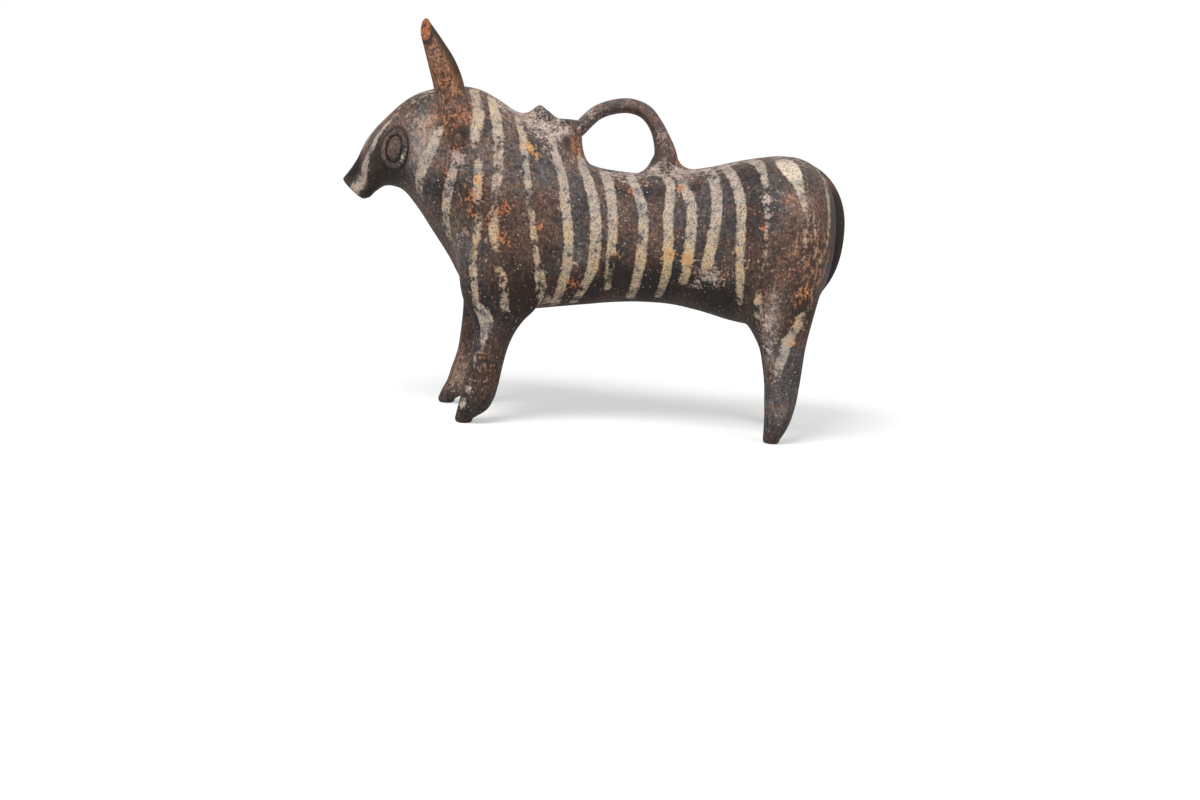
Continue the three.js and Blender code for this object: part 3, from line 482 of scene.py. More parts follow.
# %% Stripes of the legs
# x, y, z, half width, strength, all lengths in mm
LEG_STRIPES = [
    [(-46, -31.5, 68, 1.6, 0.35), (-45.7, -31.7, 62, 1.7, 0.6), (-44.7, -32, 54, 1.6, 0.65),
     (-43.9, -31, 47, 1.4, 0.5)],
    [(-42.6, -31.3, 47.5, 2.2, 0.6), (-40.4, -31.8, 43.7, 3.4, 0.75), (-39.8, -31.6, 39.8, 2.8, 0.7),
     (-41, -30.8, 35, 1.6, 0.6), (-42, -30.3, 30, 0.9, 0.5)],
    [(-43.4, -29.2, 29, 0.7, 0.4), (-43.7, -29.6, 24, 0.7, 0.4), (-44.2, -30, 20, 0.6, 0.3)],
    [(-36, -34, 69, 1.4, 0.2), (-35.3, -34.3, 63, 1.7, 0.3), (-33.7, -34.5, 57, 1.9, 0.38),
     (-33, -34, 52, 1.7, 0.38), (-31.4, -32.3, 45, 1.2, 0.3)],
    [(-20.3, -29.5, 66, 1.6, 0.6), (-20, -30, 63.5, 2, 0.7), (-19.4, -28, 57.4, 2.6, 0.7),
     (-20.4, -24, 50.5, 2.6, 0.6)],
    [(84.7, -34.7, 53, 1.8, 0.8), (83, -34.6, 48.5, 1.8, 1), (81, -34.5, 44.8, 1.9, 1),
     (79.8, -33.8, 41.5, 2.3, 1.1), (78.7, -33, 36, 2, 1), (77.6, -32, 30, 1.5, 0.7),
     (77.4, -31.6, 25, 1, 0.3)],
    [(67.6, -34.5, 62, 1.6, 0.6), (67.6, -34, 57, 2, 0.6), (67.7, -33.5, 52, 1.6, 0.4)],
    [(-46, 33, 48, 2.4, 0.6), (-44, 34, 42, 2.6, 0.6), (-45, 33, 34, 1.4, 0.4)],
    [(86, 38, 52, 1.6, 0.6), (83, 37, 46, 1.9, 0.9), (81, 34, 37, 1.8, 0.8), (80, 32, 29, 1.2, 0.5)],
]


# %% Smooth lines through the control points
POINTS_PER_STOP = 5


def on_skin(x, turn):
    """Point of the skin at a given x and turn: the way along the body is looked up where that x is."""
    table = skin(TRAVEL[None, :], turn[:, None])[..., 0]
    travel = np.array([np.interp(-value, -row, TRAVEL) for value, row in zip(x, table)])
    return skin(travel, turn)


def stripe_line(control, on_body=True):
    """Fine points along one stripe with half width and strength, smooth through its control points."""
    control = np.array(control, float)
    fine = through(control, np.linspace(0, len(control) - 1, POINTS_PER_STOP * len(control) + 1))
    if not on_body:
        return fine
    spots = on_skin(fine[:, 0], np.radians(fine[:, 1]))
    return np.column_stack([spots, fine[:, 2:]])


STRIPES = [stripe_line(s) for s in LEFT_STRIPES + RIGHT_STRIPES + HEAD_STRIPES]
STRIPES += [stripe_line(s, on_body=False) for s in LEG_STRIPES]
print(len(STRIPES), "stripes in all")


# %% Distance of any point to the stripes
STRIPE_REACH = 9.0


def stripe_fields(points):
    """Depth inside the nearest stripe in mm and that stripe's strength.

    The distance to each short piece of a stripe is that to its nearest point, found by the share of
    the piece's length at which the perpendicular falls. The depth is the half width there less the
    distance, and the deepest stripe wins.
    """
    depth = np.full(len(points), -STRIPE_REACH)
    strength = np.zeros(len(points))
    for line in STRIPES:
        low, high = line[:, :3].min(0) - STRIPE_REACH, line[:, :3].max(0) + STRIPE_REACH
        near = np.nonzero(((points > low) & (points < high)).all(1))[0]
        if not len(near):
            continue
        start, step = line[:-1], np.diff(line, axis=0)
        spots = points[near][:, None]
        share = ((spots - start[:, :3]) * step[:, :3]).sum(2) / (step[:, :3] ** 2).sum(1)
        share = np.clip(share, 0, 1)
        nearest = start[:, :3] + share[..., None] * step[:, :3]
        inside = start[:, 3] + share * step[:, 3] - np.linalg.norm(spots - nearest, axis=2)
        best = inside.argmax(1)
        rows = np.arange(len(near))
        value = inside[rows, best]
        paint_and_shade_left = start[best, 4] + share[rows, best] * step[best, 4]
        better = value > depth[near]
        depth[near[better]] = value[better]
        strength[near[better]] = paint_and_shade_left[better]
    return depth, strength


# %% [markdown]
# Crust, rust, yellow stains, burnt patches and bare clay aren't even either. Each is a handful of
# soft round clouds: a place, a radius and an amount. The shader breaks them up with noise. Two more
# sets of clouds make the slip itself lighter or darker, and browner or greyer. Some of the burnt
# patches and some of the darker clouds are painted shade: under the ear, under the belly, on the end
# of the rump, low on the right flank and at the bottom of the front feet.
# One noise over the whole vessel would be quicker, but the ground stained some places and not others.

# %% Clouds of the slip: lighter and darker, browner and greyer, with painted shade among them
# x, y, z, radius in mm, amount
# Painted shade among these: the darker clouds under the belly at z 45 to 63, those on the end of the
# rump at x 95 to 97, which stand partly for dark slip and partly for shade, and those low on the right
# flank at y 26 to 37.
SHADE = [
    (-85, -19, 106, 5, -0.4), (-80, -17, 98, 6, -0.35), (-86, -11, 95, 7, -0.6), (-60, -27, 93, 6, -0.3),
    (-84, 14, 98, 9, -0.4), (59, -22, 107, 8, -0.35), (61, -34, 95, 8, -0.3), (66, -36, 84, 8, -0.15),
    (51, -24, 57, 9, -0.4), (28, -22, 60, 10, -0.4), (11, -24, 63, 6, -0.5), (-29, -22, 53, 9, -0.4),
    (97, -10, 86, 14, -0.7), (95, -16, 74, 9, -0.6), (97, 10, 84, 12, -0.5), (0, -22, 54, 9, -0.3),
    (-3, -29, 90, 4, -0.2), (26, -20, 99, 4, -0.3), (20, -21, 98, 4, -0.4), (40, -19, 100, 3, -0.4),
    (10, -20, 97, 4, -0.3), (-40, -20, 45, 12, -0.3), (-68, -24, 112, 9, 0.35), (-70, -21, 119, 6, 0.15),
    (-72, -23, 106, 6, 0.2), (-76, -12, 127, 9, -0.2), (72, -40, 82, 11, 0.1), (72.8, -36, 60, 4, 0.5),
    (72.8, -35.6, 52, 4, 0.7), (72.8, -32.5, 43, 4, 0.6), (73.8, -30.5, 35, 4, 0.4),
    (-54, 17, 15, 14, 0.5), (79, -31, 18, 13, 0.3), (80, -33, 40, 8, 0.2), (-40, -31, 30, 10, 0.12),
    (80, -36, 66, 9, 0.12), (-46, -31, 89, 9, -0.15), (-9, -8, 113, 5, 0.35), (-58, -23, 116, 8, -0.2),
    (-27, -30, 56, 8, -0.3), (-53, -26, 73, 9, 0.25), (-50, -22, 62, 8, 0.2), (-9, -26, 98, 5, 0.1),
    (82, -37, 100, 8, 0.15), (50, -32, 66, 6, 0.2), (-6, -28, 68, 5, 0.25), (-30, 14, 118, 10, 0.2),
    (44, 12, 106, 10, 0.2), (70, 8, 114, 10, -0.2), (64, 28, 104, 8, -0.3), (-20, 30, 80, 14, -0.3),
    (20, 26, 78, 14, -0.3), (60, 37, 76, 14, -0.3),
]
WARMTH = [
    (-30, -33, 79, 11, 1.0), (-31, -29, 63, 9, 0.8), (-19, -32, 88, 7, 0.5), (-21, -31, 74, 7, 0.5),
    (85, -38, 84, 12, 1.6), (81, -37, 99, 6, 0.7), (-46, -31, 89, 7, 0.8), (-80, -17, 124, 8, 0.7),
    (-6, -24, 58, 7, 0.9), (-22, -16, 49, 9, 0.8), (13, -27, 82, 7, 0.6), (-57, -22, 120, 9, 1.4),
    (-56, -26, 112, 5, 1.0), (-58, 22, 116, 12, 1.2), (24, -24, 88, 5, 0.4), (70, -38, 66, 8, 0.7),
    (86, -30, 56, 9, 1.0), (-38, -32, 22, 10, 0.9), (-52, 20, 20, 14, 1.2), (-27, -30, 56, 8, 0.5),
    (-42, -31, 84, 6, 0.7), (-40, 24, 100, 16, 0.9), (0, 27, 84, 18, 0.9), (44, 28, 84, 16, 0.8),
    (90, 22, 86, 14, 0.8), (-92, -10, 96, 6, 0.5), (-22, -27, 103, 7, -1.0), (-7, -27, 92, 5, -1.0),
    (-5, -29, 77, 6, -0.9), (-51, -30, 99, 5, -1.0), (-48, -27, 68, 8, -0.9), (42, -27, 90, 8, -0.8),
    (-72, -19, 123, 4, -0.9), (-76, -18, 96, 6, -1.0), (72, -39, 92, 8, -0.4), (66, -33, 103, 7, -0.7),
    (31, -22, 64, 7, -0.5), (50, -33, 88, 5, -0.8), (78, -31, 20, 14, -0.7), (80, -33, 38, 7, -0.4),
    (-43, -30, 38, 6, -0.8), (-36, -30, 50, 6, -0.7), (12, -4, 106, 8, -0.4), (60, 10, 111, 9, -0.4),
]
print(len(SHADE), "clouds of shade,", len(WARMTH), "of warmth")

# %% Clouds of pale crust and of rust
CRUST = [
    (-32, -2, 124, 9, 0.8), (-24, -11, 119, 8, 0.75), (-20, 12, 118, 7, 0.7), (-14, -8, 118, 7, 0.6),
    (-18, -20, 110, 6, 0.45), (-10, 3, 124, 8, 0.7), (0, 8, 131, 8, 0.25), (10, 9, 133, 8, 0.2),
    (-40, -8, 128, 9, 0.5), (-40, 6, 128, 8, 0.5), (-70, -8, 131, 8, 0.7), (-78, 2, 128, 8, 0.6),
    (-66, 6, 133, 8, 0.5), (-78, -12, 124, 6, 0.3), (-70, 12, 130, 8, 0.6), (-66, -22, 117, 8, 0.15),
    (-62, -25, 108, 6, 0.2), (-64, 22, 116, 8, 0.5), (-92, -2, 116, 7, 0.5), (41, -7, 107, 6, 0.8),
    (50, -7, 109, 7, 0.8), (33, -5, 106, 6, 0.9), (24, -2, 106, 5, 0.7), (58, -6, 111, 6, 0.5),
    (74, -6, 115, 7, 0.6), (80, -14, 112, 7, 0.4), (66, 4, 114, 8, 0.3), (70, 18, 112, 7, 0.6),
    (71, 28, 107, 6, 0.5), (79, 30, 105, 7, 0.5), (40, 8, 107, 7, 0.4), (72.8, -36, 57, 4, 0.6),
    (72.8, -34, 48, 4, 0.9), (73, -31, 40, 3.6, 0.7), (26.5, 2, 120, 2.6, 1.2),
    (44, -24.3, 61.6, 4, 0.5), (48, -28.4, 66.5, 4, 0.5), (-54, -29, 104, 3, 1.0),
    (-55, -28, 107, 3, 0.8), (-57, -27, 92, 4, 0.3), (-6, -8, 107, 8, 0.4), (8, -9, 103, 8, 0.5),
    (18, -10, 102, 8, 0.5), (20, 10, 102, 8, 0.4), (57, -36, 70, 5, 0.3), (50, -32, 64, 6, 0.45),
    (-53, -26, 74, 6, 0.3), (-6, -28, 68, 4, 0.4), (66, -34, 101, 2.4, 1.1), (67, -35, 97, 1.8, 1.1),
    (68, -38, 92, 1.6, 1.0), (-95, -8, 92, 3, 0.9), (-45.5, -31, 18, 2, 0.9), (-46.6, -30, 14, 2, 1.0),
    (-48, -29, 8, 2.4, 1.1), (-55, 17, 12, 10, 0.4),
]
RUST = [
    (-57, -22, 121, 6, 1.0), (-55, -24, 113, 5, 1.0), (-58, 21, 116, 7, 1), (-60, -19, 126, 6, 0.5),
    (-62, 20, 124, 6, 0.6), (-34, -34, 88, 3.2, 1.1), (-37, -34, 86, 2.2, 1.0), (-48, -31, 84, 2, 1.4),
    (-41, -33, 82, 2.2, 1.1), (-35, -33, 76, 2.6, 0.9), (-32, -33, 74, 2, 0.9), (-37, -33, 79, 5, 0.3),
    (-21, -32, 81, 1.7, 1.6), (-42, -30, 71, 4, 0.4), (-36, -34, 62, 3, 0.6), (-35, -26, 59, 3, 0.9),
    (14, -19, 97, 2.1, 1.5), (34, -18, 100, 2.1, 1.5), (11, -26, 86, 3, 0.6), (66, -38, 87, 1.7, 1.5),
    (75, -37, 98, 3, 0.7), (84.2, -35.6, 63, 3.2, 1.5), (83, -36, 57, 3, 0.9), (82, -33.5, 42, 1.8, 1.1),
    (67.6, -33, 58, 2.4, 0.9), (-55, 17, 14, 9, 0.5), (-14, -24, 53, 4, 0.8), (-55, -28, 109, 2.6, 1.0),
    (-46, -32, 93, 5, 0.7), (-50, -31, 90, 4, 0.6), (-46, -31, 99, 3, 0.5), (-6, -24, 59, 4, 0.9),
    (68, -32, 59, 3, 1.0), (-58, -27, 100, 3, 0.8), (-61, -26, 86, 3, 0.6), (-33, -32, 66, 3, 0.5),
    (-11, -26, 100, 3, 0.6), (62, -37, 78, 4, 0.4), (78, -39, 72, 6, 0.5), (-9, -8, 115, 3, 0.8),
    (-8.5, -8, 111, 3, 0.9), (-7, -2, 112, 4, 1.0), (27, 1, 119, 2.6, 0.8), (33, 6, 106, 7, 0.9),
    (38, 10, 107, 7, 0.8), (27, 8, 109, 6, 0.5), (-44, 10, 128, 9, 0.6), (-40, 24, 116, 11, 0.5),
    (-10, 27, 92, 12, 0.4), (2, 27, 88, 12, 0.4), (40, 27, 90, 12, 0.3), (-76, 16, 122, 8, 0.5),
    (-68, 22, 112, 8, 0.4), (88, 20, 104, 9, 0.4), (-16, 20, 108, 8, 0.5), (44, 17, 104, 6, 0.5),
    (92, -20, 105, 3, 0.8), (-12, -20, 50, 5, 0.6), (-26, -18, 49, 4, 0.5),
]
print(len(CRUST), "clouds of crust,", len(RUST), "of rust")

# %% Clouds of yellow stains, soot with painted shade, and bare clay
YELLOW = [
    (-46, -32, 97, 2.4, 1.2), (-28, -23, 112, 3, 1.1), (-24.5, -24, 109, 2.6, 0.9),
    (31, -26, 73, 2.8, 1.5), (38.5, -27, 72, 2.6, 1.5), (39.5, -26, 68, 2.4, 0.8),
    (57, -35, 77, 1.7, 1.1), (53, -31, 67, 3, 0.8), (60, -36, 71, 2.4, 0.6), (10, -26, 72, 1.8, 1.0),
    (48, 12, 107, 3, 0.8), (56, 15, 109, 3, 0.9), (64, 14, 112, 3, 0.7), (-14, 13, 121, 4, 0.8),
    (-9, 8, 122, 4, 0.8), (-7, -7, 110, 3, 0.8), (92, 2, 108, 3, 1.1), (96, 1, 103, 3, 1.1),
    (88, 4, 111, 2.5, 0.7), (-68, 14, 128, 4, 0.5), (-44, 2, 130, 6, 0.4), (-22, -13, 49, 5, 0.6),
    (84, -35.6, 62, 2.6, 0.9), (67.6, -33, 60, 2, 0.8), (83.6, -34.7, 50, 3.6, 0.85),
    (80.4, -34, 43, 3, 0.75),
]
# Painted shade among these: the clouds under the left ear at x -52 to -58, the broad ones under the
# belly at z 46 to 53, those on the end of the rump at x 95 to 97, which stand partly for dark slip and
# partly for shade, those on the right flank at y 26 to 36, and those at the bottom of the front feet at
# z 3.
SOOT_AND_SHADE = [
    (-54, -27, 114, 3.4, 1.1), (-52.5, -28, 117, 3, 0.8), (-58, -26, 112, 2.4, 0.5),
    (9, -27, 70, 1.9, 1.5), (11, -25, 64, 2.6, 1.3), (13, -23, 60, 3.4, 0.9), (-85, -3, 123, 4.5, 1),
    (-66, 4, 133, 6, 0.8), (-72, 3, 131, 5, 0.7), (-100, -7, 97.5, 5, 1.6), (-98, -6, 101, 3.5, 1.5),
    (-97, -1, 103, 4, 1.4), (-91, -6, 89.5, 3.6, 1.6), (-87, -9, 92.5, 4.5, 1.2),
    (-86, -18, 104, 4, 0.8), (-89, -15, 103, 4, 0.9), (-84, -15, 96, 6, 0.6), (92, 26, 84, 16, 0.4),
    (49, -18, 53, 8, 0.6), (20, -18, 53, 12, 0.5), (0, -18, 50, 10, 0.4), (26, 4, 112, 5, 0.6),
    (27, 4, 109, 4, 0.8), (-66, 12, 130, 4, 0.5), (-49, 12, 131, 6, 0.6), (60, 36, 80, 14, 0.3),
    (51, -24, 58, 3, 0.9), (-24, -22, 53, 6, 0.6), (-20, -18, 46, 8, 0.3), (-13.5, -10, 115, 3, 1.1),
    (-13, -11, 111, 2.4, 0.9), (83.2, -36, 55.8, 2, 1.2), (85.7, -35, 58.8, 1.8, 1.3),
    (-45, -31, 3, 5, 0.7), (-56, 22, 3, 5, 0.6), (97, -8, 86, 8, 0.8), (96, -8, 97, 4, 0.4),
    (95, -9, 74, 7, 0.7),
]
BARE = [
    (-57, -20, 120, 9, 0.8), (-58, 20, 117, 12, 0.9), (86, -36, 80, 12, 0.35), (88, -30, 72, 12, 0.35),
    (-40, 22, 112, 12, 0.4), (30, 8, 112, 8, 0.4), (34, 6, 105, 8, 0.7), (-9, -8, 116, 4.5, 1.2),
    (-8.5, -8, 111, 4.5, 1.2), (-7, -2, 113, 6, 1.0), (-78, 12, 118, 9, 0.3), (84, -34, 62, 6, 0.5),
    (-20, -12, 48, 9, 0.4), (-48, 26, 22, 9, 0.5), (-39, -32, 24, 8, 0.35),
]
print(len(YELLOW), "clouds of yellow,", len(SOOT_AND_SHADE), "of soot,", len(BARE), "of bare clay")

# %% [markdown]
# The groove round each eye's coil is painted dark as shade. The eyes' ovals are placed on the head
# first, and the painted shade follows them.

# %% The eyes' ovals and the painted shade round them
EYE_X, EYE_Z = -80.4, 107
EYE_LENGTH, EYE_HEIGHT = 4.4, 6.9
EYE_COIL = 1.05
EYE_TILT = 0.16
GROOVE_OFFSET, GROOVE_WIDTH, GROOVE_DEPTH = 0.35, 0.75, 6


def eye_frame(side):
    """Place of the eye on the head with its directions out, up and forward."""
    root = drop(np.array([[EYE_X, side * 60.0, EYE_Z]]), (0, -side, 0))
    normal = skin_slope(root)[0]
    up = np.array([EYE_TILT, 0, 1.0])
    up = unit(up - (up @ normal) * normal)
    return root[0], normal, up, unit(np.cross(up, normal))


EYE_FRAMES = {side: eye_frame(side) for side in (-1, 1)}


def eye_groove_shade(points):
    """Painted shade in the grooves of both coils: a bell over the distance from the coil's outer and
    inner edge.

    A point's place along the oval's axes, divided by the half axes, gives a level that is 1 on the
    middle of the coil. Level minus one, times the mean half axis, is about the distance from it.
    """
    groove_shade = np.zeros(len(points))
    for root, normal, up, ahead in EYE_FRAMES.values():
        away = points - root
        level = np.hypot(away @ ahead / EYE_LENGTH, away @ up / EYE_HEIGHT)
        distance = np.abs((level - 1) * (EYE_LENGTH + EYE_HEIGHT) / 2)
        near = np.exp(-((distance - EYE_COIL - GROOVE_OFFSET) / GROOVE_WIDTH) ** 2)
        groove_shade = np.maximum(groove_shade, np.where(np.abs(away @ normal) < GROOVE_DEPTH, near, 0))
    return groove_shade


print("left eye at", np.round(EYE_FRAMES[-1][0], 1))


# %% All paint fields of a piece
CLOUD_LIMIT = 1.6
# heights in mm, then the value there
# The tone by height is painted light and shade: lighter towards the back, darkest at the belly near z
# 50, and dark low on the legs.
TONE_AND_SHADE_BY_HEIGHT = ([0, 30, 50, 75, 100, 130, 157], [0.28, 0.34, 0.26, 0.44, 0.56, 0.62, 0.5])
CREAM_BY_HEIGHT = ([46, 56, 72, 90, 108, 120], [0.3, 0.65, 0.8, 0.45, 0.3, 0.6])
TONE_SHIFT = 0.08


def cloud(points, spots):
    """Sum of soft round clouds: amount times a bell of the distance over the radius, up to a limit."""
    total = np.zeros(len(points))
    for x, y, z, radius, amount in spots:
        away = ((points - np.array([x, y, z])) ** 2).sum(1)
        total += amount * np.exp(-away / radius ** 2)
    return np.minimum(total, CLOUD_LIMIT)


def paint(points, extra):
    """All paint fields of a piece, by the place of its points. extra adds or replaces a field."""
    depth, strength = stripe_fields(points)
    height = points[:, 2]
    fields = {
        "stripe": depth,
        "stripe_paint_and_shade": strength,
        # tone: painted light and shade by height and from some clouds, with the slip's own tone
        "tone": np.interp(height, *TONE_AND_SHADE_BY_HEIGHT) + cloud(points, SHADE) - TONE_SHIFT,
        "warmth": cloud(points, WARMTH),
        "cream": np.interp(height, *CREAM_BY_HEIGHT),
        "crust": cloud(points, CRUST),
        "rust": cloud(points, RUST),
        "yellow": cloud(points, YELLOW),
        # soot and painted shade: the clouds hold both, and the grooves round the eye coils are painted
        # shade
        "soot_and_shade": np.maximum(cloud(points, SOOT_AND_SHADE), eye_groove_shade(points)),
        "bare": cloud(points, BARE),
        "inside": np.zeros(len(points)),
    }
    for field, values in extra.items():
        fields[field] = np.broadcast_to(values, len(points)).astype(float)
    return fields


# %% [markdown]
# ## Fired and slipped clay
# The vessel was covered in a thin dark slip, painted with pale stripes, fired and then lay in the
# ground. One material does it all, because the paint runs over every joint. It mixes the finishes
# one over the other by the painted fields, and every edge is broken by noise at the size of the
# grain, about half a millimetre.
# Separate materials would be simpler to read, but they would end at each joint in a hard line.


# %% Small helpers for shader nodes
def srgb(red, green, blue):
    """Colour as seen on a screen, 0 to 255, turned into the linear values that Blender mixes."""
    value = np.array([red, green, blue]) / 255
    linear = np.where(value <= 0.04045, value / 12.92, ((value + 0.055) / 1.055) ** 2.4)
    return (*[float(v) for v in linear], 1.0)


class Shader:
    """Node tree of one material, with a short call for each kind of node that the finish needs."""

    def __init__(self, name):
        self.material = bpy.data.materials.new(name)
        self.material.use_nodes = True
        self.tree = self.material.node_tree
        self.surface = self.tree.nodes["Principled BSDF"]
        self.place = self.tree.nodes.new("ShaderNodeTexCoord").outputs["Object"]

    def set(self, socket, value):
        """Link an output to a socket, or write a number or colour on it."""
        if isinstance(value, bpy.types.NodeSocket):
            self.tree.links.new(value, socket)
        else:
            socket.default_value = value

    def field(self, name):
        """One painted field of the mesh, as a number."""
        node = self.tree.nodes.new("ShaderNodeAttribute")
        node.attribute_name = name
        return node.outputs["Fac"]

    def noise(self, size, detail=2.0, stretch=(1, 1, 1)):
        """Noise from 0 to 1 whose blobs are about size millimetres across, or longer along an axis
        whose stretch is above one."""
        turn = self.tree.nodes.new("ShaderNodeMapping")
        self.set(turn.inputs["Vector"], self.place)
        turn.inputs["Scale"].default_value = [1 / (size * MM * along) for along in stretch]
        node = self.tree.nodes.new("ShaderNodeTexNoise")
        self.set(node.inputs["Vector"], turn.outputs["Vector"])
        node.inputs["Scale"].default_value = 1.0
        node.inputs["Detail"].default_value = detail
        return node.outputs["Fac"]

    def math(self, operation, first, second=0.0, third=0.0):
        """One sum, product or other operation on numbers."""
        node = self.tree.nodes.new("ShaderNodeMath")
        node.operation = operation
        for socket, value in zip(node.inputs, (first, second, third)):
            self.set(socket, value)
        return node.outputs[0]

    def total(self, first, *swings):
        """A number plus noises, each taken about its middle of 0.5 and multiplied by an amount."""
        for noise, amount in swings:
            first = self.math("ADD", first, self.math("MULTIPLY_ADD", noise, amount, -0.5 * amount))
        return first

    def step(self, value, low, high):
        """Smooth step: 0 below low, 1 above high, an S-curve between."""
        node = self.tree.nodes.new("ShaderNodeMapRange")
        node.interpolation_type = "SMOOTHSTEP"
        self.set(node.inputs["Value"], value)
        node.inputs["From Min"].default_value = low
        node.inputs["From Max"].default_value = high
        return node.outputs["Result"]

    def within(self, name, low, high, *swings):
        """Where a painted field, broken up by noise, stands above a level. Off its clouds it is 0."""
        field = self.field(name)
        broken = self.step(self.total(field, *swings), low, high)
        return self.math("MULTIPLY", broken, self.step(field, 0.05, 0.3))

    def ramp(self, value, *stops):
        """Colours along a number from 0 to 1, each stop a place and an sRGB colour."""
        node = self.tree.nodes.new("ShaderNodeValToRGB")
        self.set(node.inputs["Fac"], value)
        elements = node.color_ramp.elements
        for _ in range(len(stops) - 2):
            elements.new(0.5)
        for element, (at, colour) in zip(elements, stops):
            element.position = at
            element.color = srgb(*colour)
        return node.outputs["Color"]

    def over(self, amount, under, top, share=1.0):
        """One colour laid over another by an amount from 0 to 1, times a share."""
        node = self.tree.nodes.new("ShaderNodeMix")
        node.data_type = "RGBA"
        self.set(node.inputs["Factor"], self.math("MULTIPLY", amount, share))
        self.set(node.inputs["A"], under)
        self.set(node.inputs["B"], top)
        colours = [socket for socket in node.outputs if socket.type == "RGBA"]
        return colours[0]


# %% Colours of the finishes
# place on the ramp from 0 to 1 and colour as seen on a screen
GREY_SLIP = [(0.0, (31, 28, 28)), (0.35, (59, 54, 53)), (0.65, (88, 81, 78)), (1.0, (138, 128, 122))]
BROWN_SLIP = [(0.0, (36, 26, 21)), (0.35, (68, 51, 44)), (0.65, (102, 81, 71)), (1.0, (152, 126, 110))]
BARE_CLAY = [(0.25, (60, 40, 30)), (0.5, (116, 80, 60)), (0.75, (166, 122, 92))]
CREAM_PAINT = [(0.0, (150, 143, 138)), (0.45, (175, 160, 146)), (0.75, (184, 164, 136)),
               (1.0, (192, 164, 122))]
LIME_CRUST = [(0.3, (134, 116, 107)), (0.55, (160, 142, 132)), (0.75, (190, 177, 167))]
RUST_STAIN = [(0.3, (84, 44, 30)), (0.5, (138, 76, 46)), (0.7, (184, 120, 78))]
OCHRE_STAIN = [(0.3, (136, 90, 52)), (0.5, (178, 130, 76)), (0.7, (204, 168, 116))]
THICK_CREAM = srgb(218, 202, 180)
CLAY_SPECK, LIME_SPECK, PIT = srgb(138, 88, 64), srgb(186, 172, 160), srgb(46, 38, 35)
SMOKE_AND_SHADE, BLACK_SOOT_AND_SHADE, INNER_CLAY = srgb(42, 35, 32), srgb(22, 18, 17), srgb(58, 44, 36)
print("dark slip reflects", round(srgb(*BROWN_SLIP[1][1])[0], 3), "of red light")


